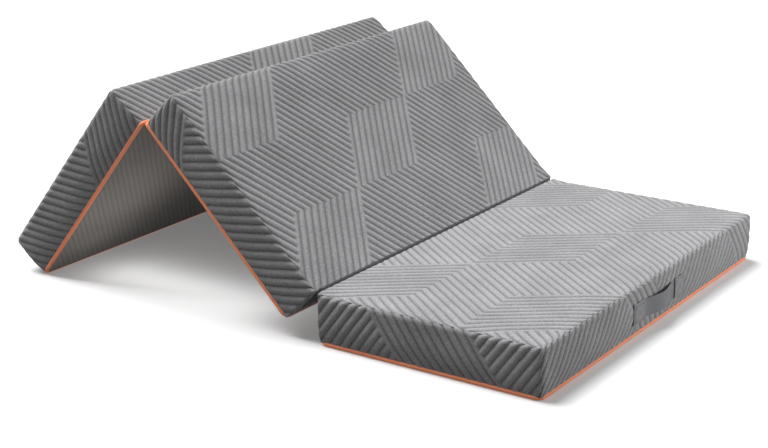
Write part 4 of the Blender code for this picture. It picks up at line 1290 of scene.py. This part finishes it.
FLOOR_SIZE = 60.0
FLOOR_DROP = 0.0006
FLOOR_WHITE = (0.90, 0.90, 0.90, 1.0)
FLOOR_BOUNCE = (0.12, 0.12, 0.12, 1.0)
FLOOR_GLOW = (0.14, 0.14, 0.14, 1.0)
FLOOR_SPILL = (0.05, 0.05, 0.05, 1.0)
AIR_WHITE = (1.0, 1.0, 1.0, 1.0)
AIR_LIGHT = 0.18
KEY_FROM = (-0.455, 0.03, 0.89)
KEY_STRENGTH = 4.4
KEY_SOFTNESS = math.radians(38)
LAMPS = {
    "handle_side_lamp": ((1.75, 0.60, 0.30), (0.32, 0.15, 0.06), (0.9, 0.5), 15.5),
    "tent_lamp": ((-0.94, -0.47, 0.03), (-1.02, -0.47, 0.30), (0.34, 0.20), 0.32),
    "tent_floor_lamp": ((-0.84, -0.47, 0.11), (-0.84, -0.47, 0.0), (0.60, 0.16), 0.33),
}


def seen_directly(tree):
    """1 where the viewer looks, in a mirror or through glass too, and 0 for light that bounces on."""
    rays = add_node(tree, "ShaderNodeLightPath").outputs
    through = sums(tree, "MAXIMUM", rays["Is Glossy Ray"], rays["Is Transmission Ray"])
    return sums(tree, "MAXIMUM", rays["Is Camera Ray"], through)


def turned_from(obj, direction):
    obj.rotation_mode = "QUATERNION"
    obj.rotation_quaternion = direction.to_track_quat("Z", "Y")


floor_mesh = bpy.data.meshes.new("floor")
side = FLOOR_SIZE / 2
corners = [(x, y, -FLOOR_DROP) for x, y in ((-side, -side), (side, -side), (side, side), (-side, side))]
floor_mesh.from_pydata(corners, [], [(0, 1, 2, 3)])
floor = put("floor", floor_mesh)
floor_material, tree, shader = new_material("pale_floor", FLOOR_WHITE, roughness=1.0)
shader.inputs["Specular IOR Level"].default_value = 0.0
shader.inputs["Emission Strength"].default_value = 1.0
seen = seen_directly(tree)
tree.links.new(mix_colour(tree, seen, FLOOR_BOUNCE, FLOOR_WHITE), shader.inputs["Base Color"])
tree.links.new(mix_colour(tree, seen, FLOOR_SPILL, FLOOR_GLOW), shader.inputs["Emission Color"])
floor_mesh.materials.append(floor_material)

world = bpy.data.worlds.new("studio")
scene.world = world
world.use_nodes = True
tree = world.node_tree
background = tree.nodes["Background"]
background.inputs["Color"].default_value = AIR_WHITE
brightness = sums(tree, "MULTIPLY_ADD", seen_directly(tree), 1.0 - AIR_LIGHT, AIR_LIGHT)
tree.links.new(brightness, background.inputs["Strength"])

key = put("key_light", bpy.data.lights.new("key_light", "SUN"))
key.data.energy = KEY_STRENGTH
key.data.angle = KEY_SOFTNESS
turned_from(key, Vector(KEY_FROM))
for name, (place, target, (width, height), power) in LAMPS.items():
    lamp = put(name, bpy.data.lights.new(name, "AREA"))
    lamp.data.shape = "RECTANGLE"
    lamp.data.size = width
    lamp.data.size_y = height
    lamp.data.energy = power
    lamp.location = place
    turned_from(lamp, Vector(place) - Vector(target))
    lamp.visible_camera = False

scene.view_settings.view_transform = "Standard"
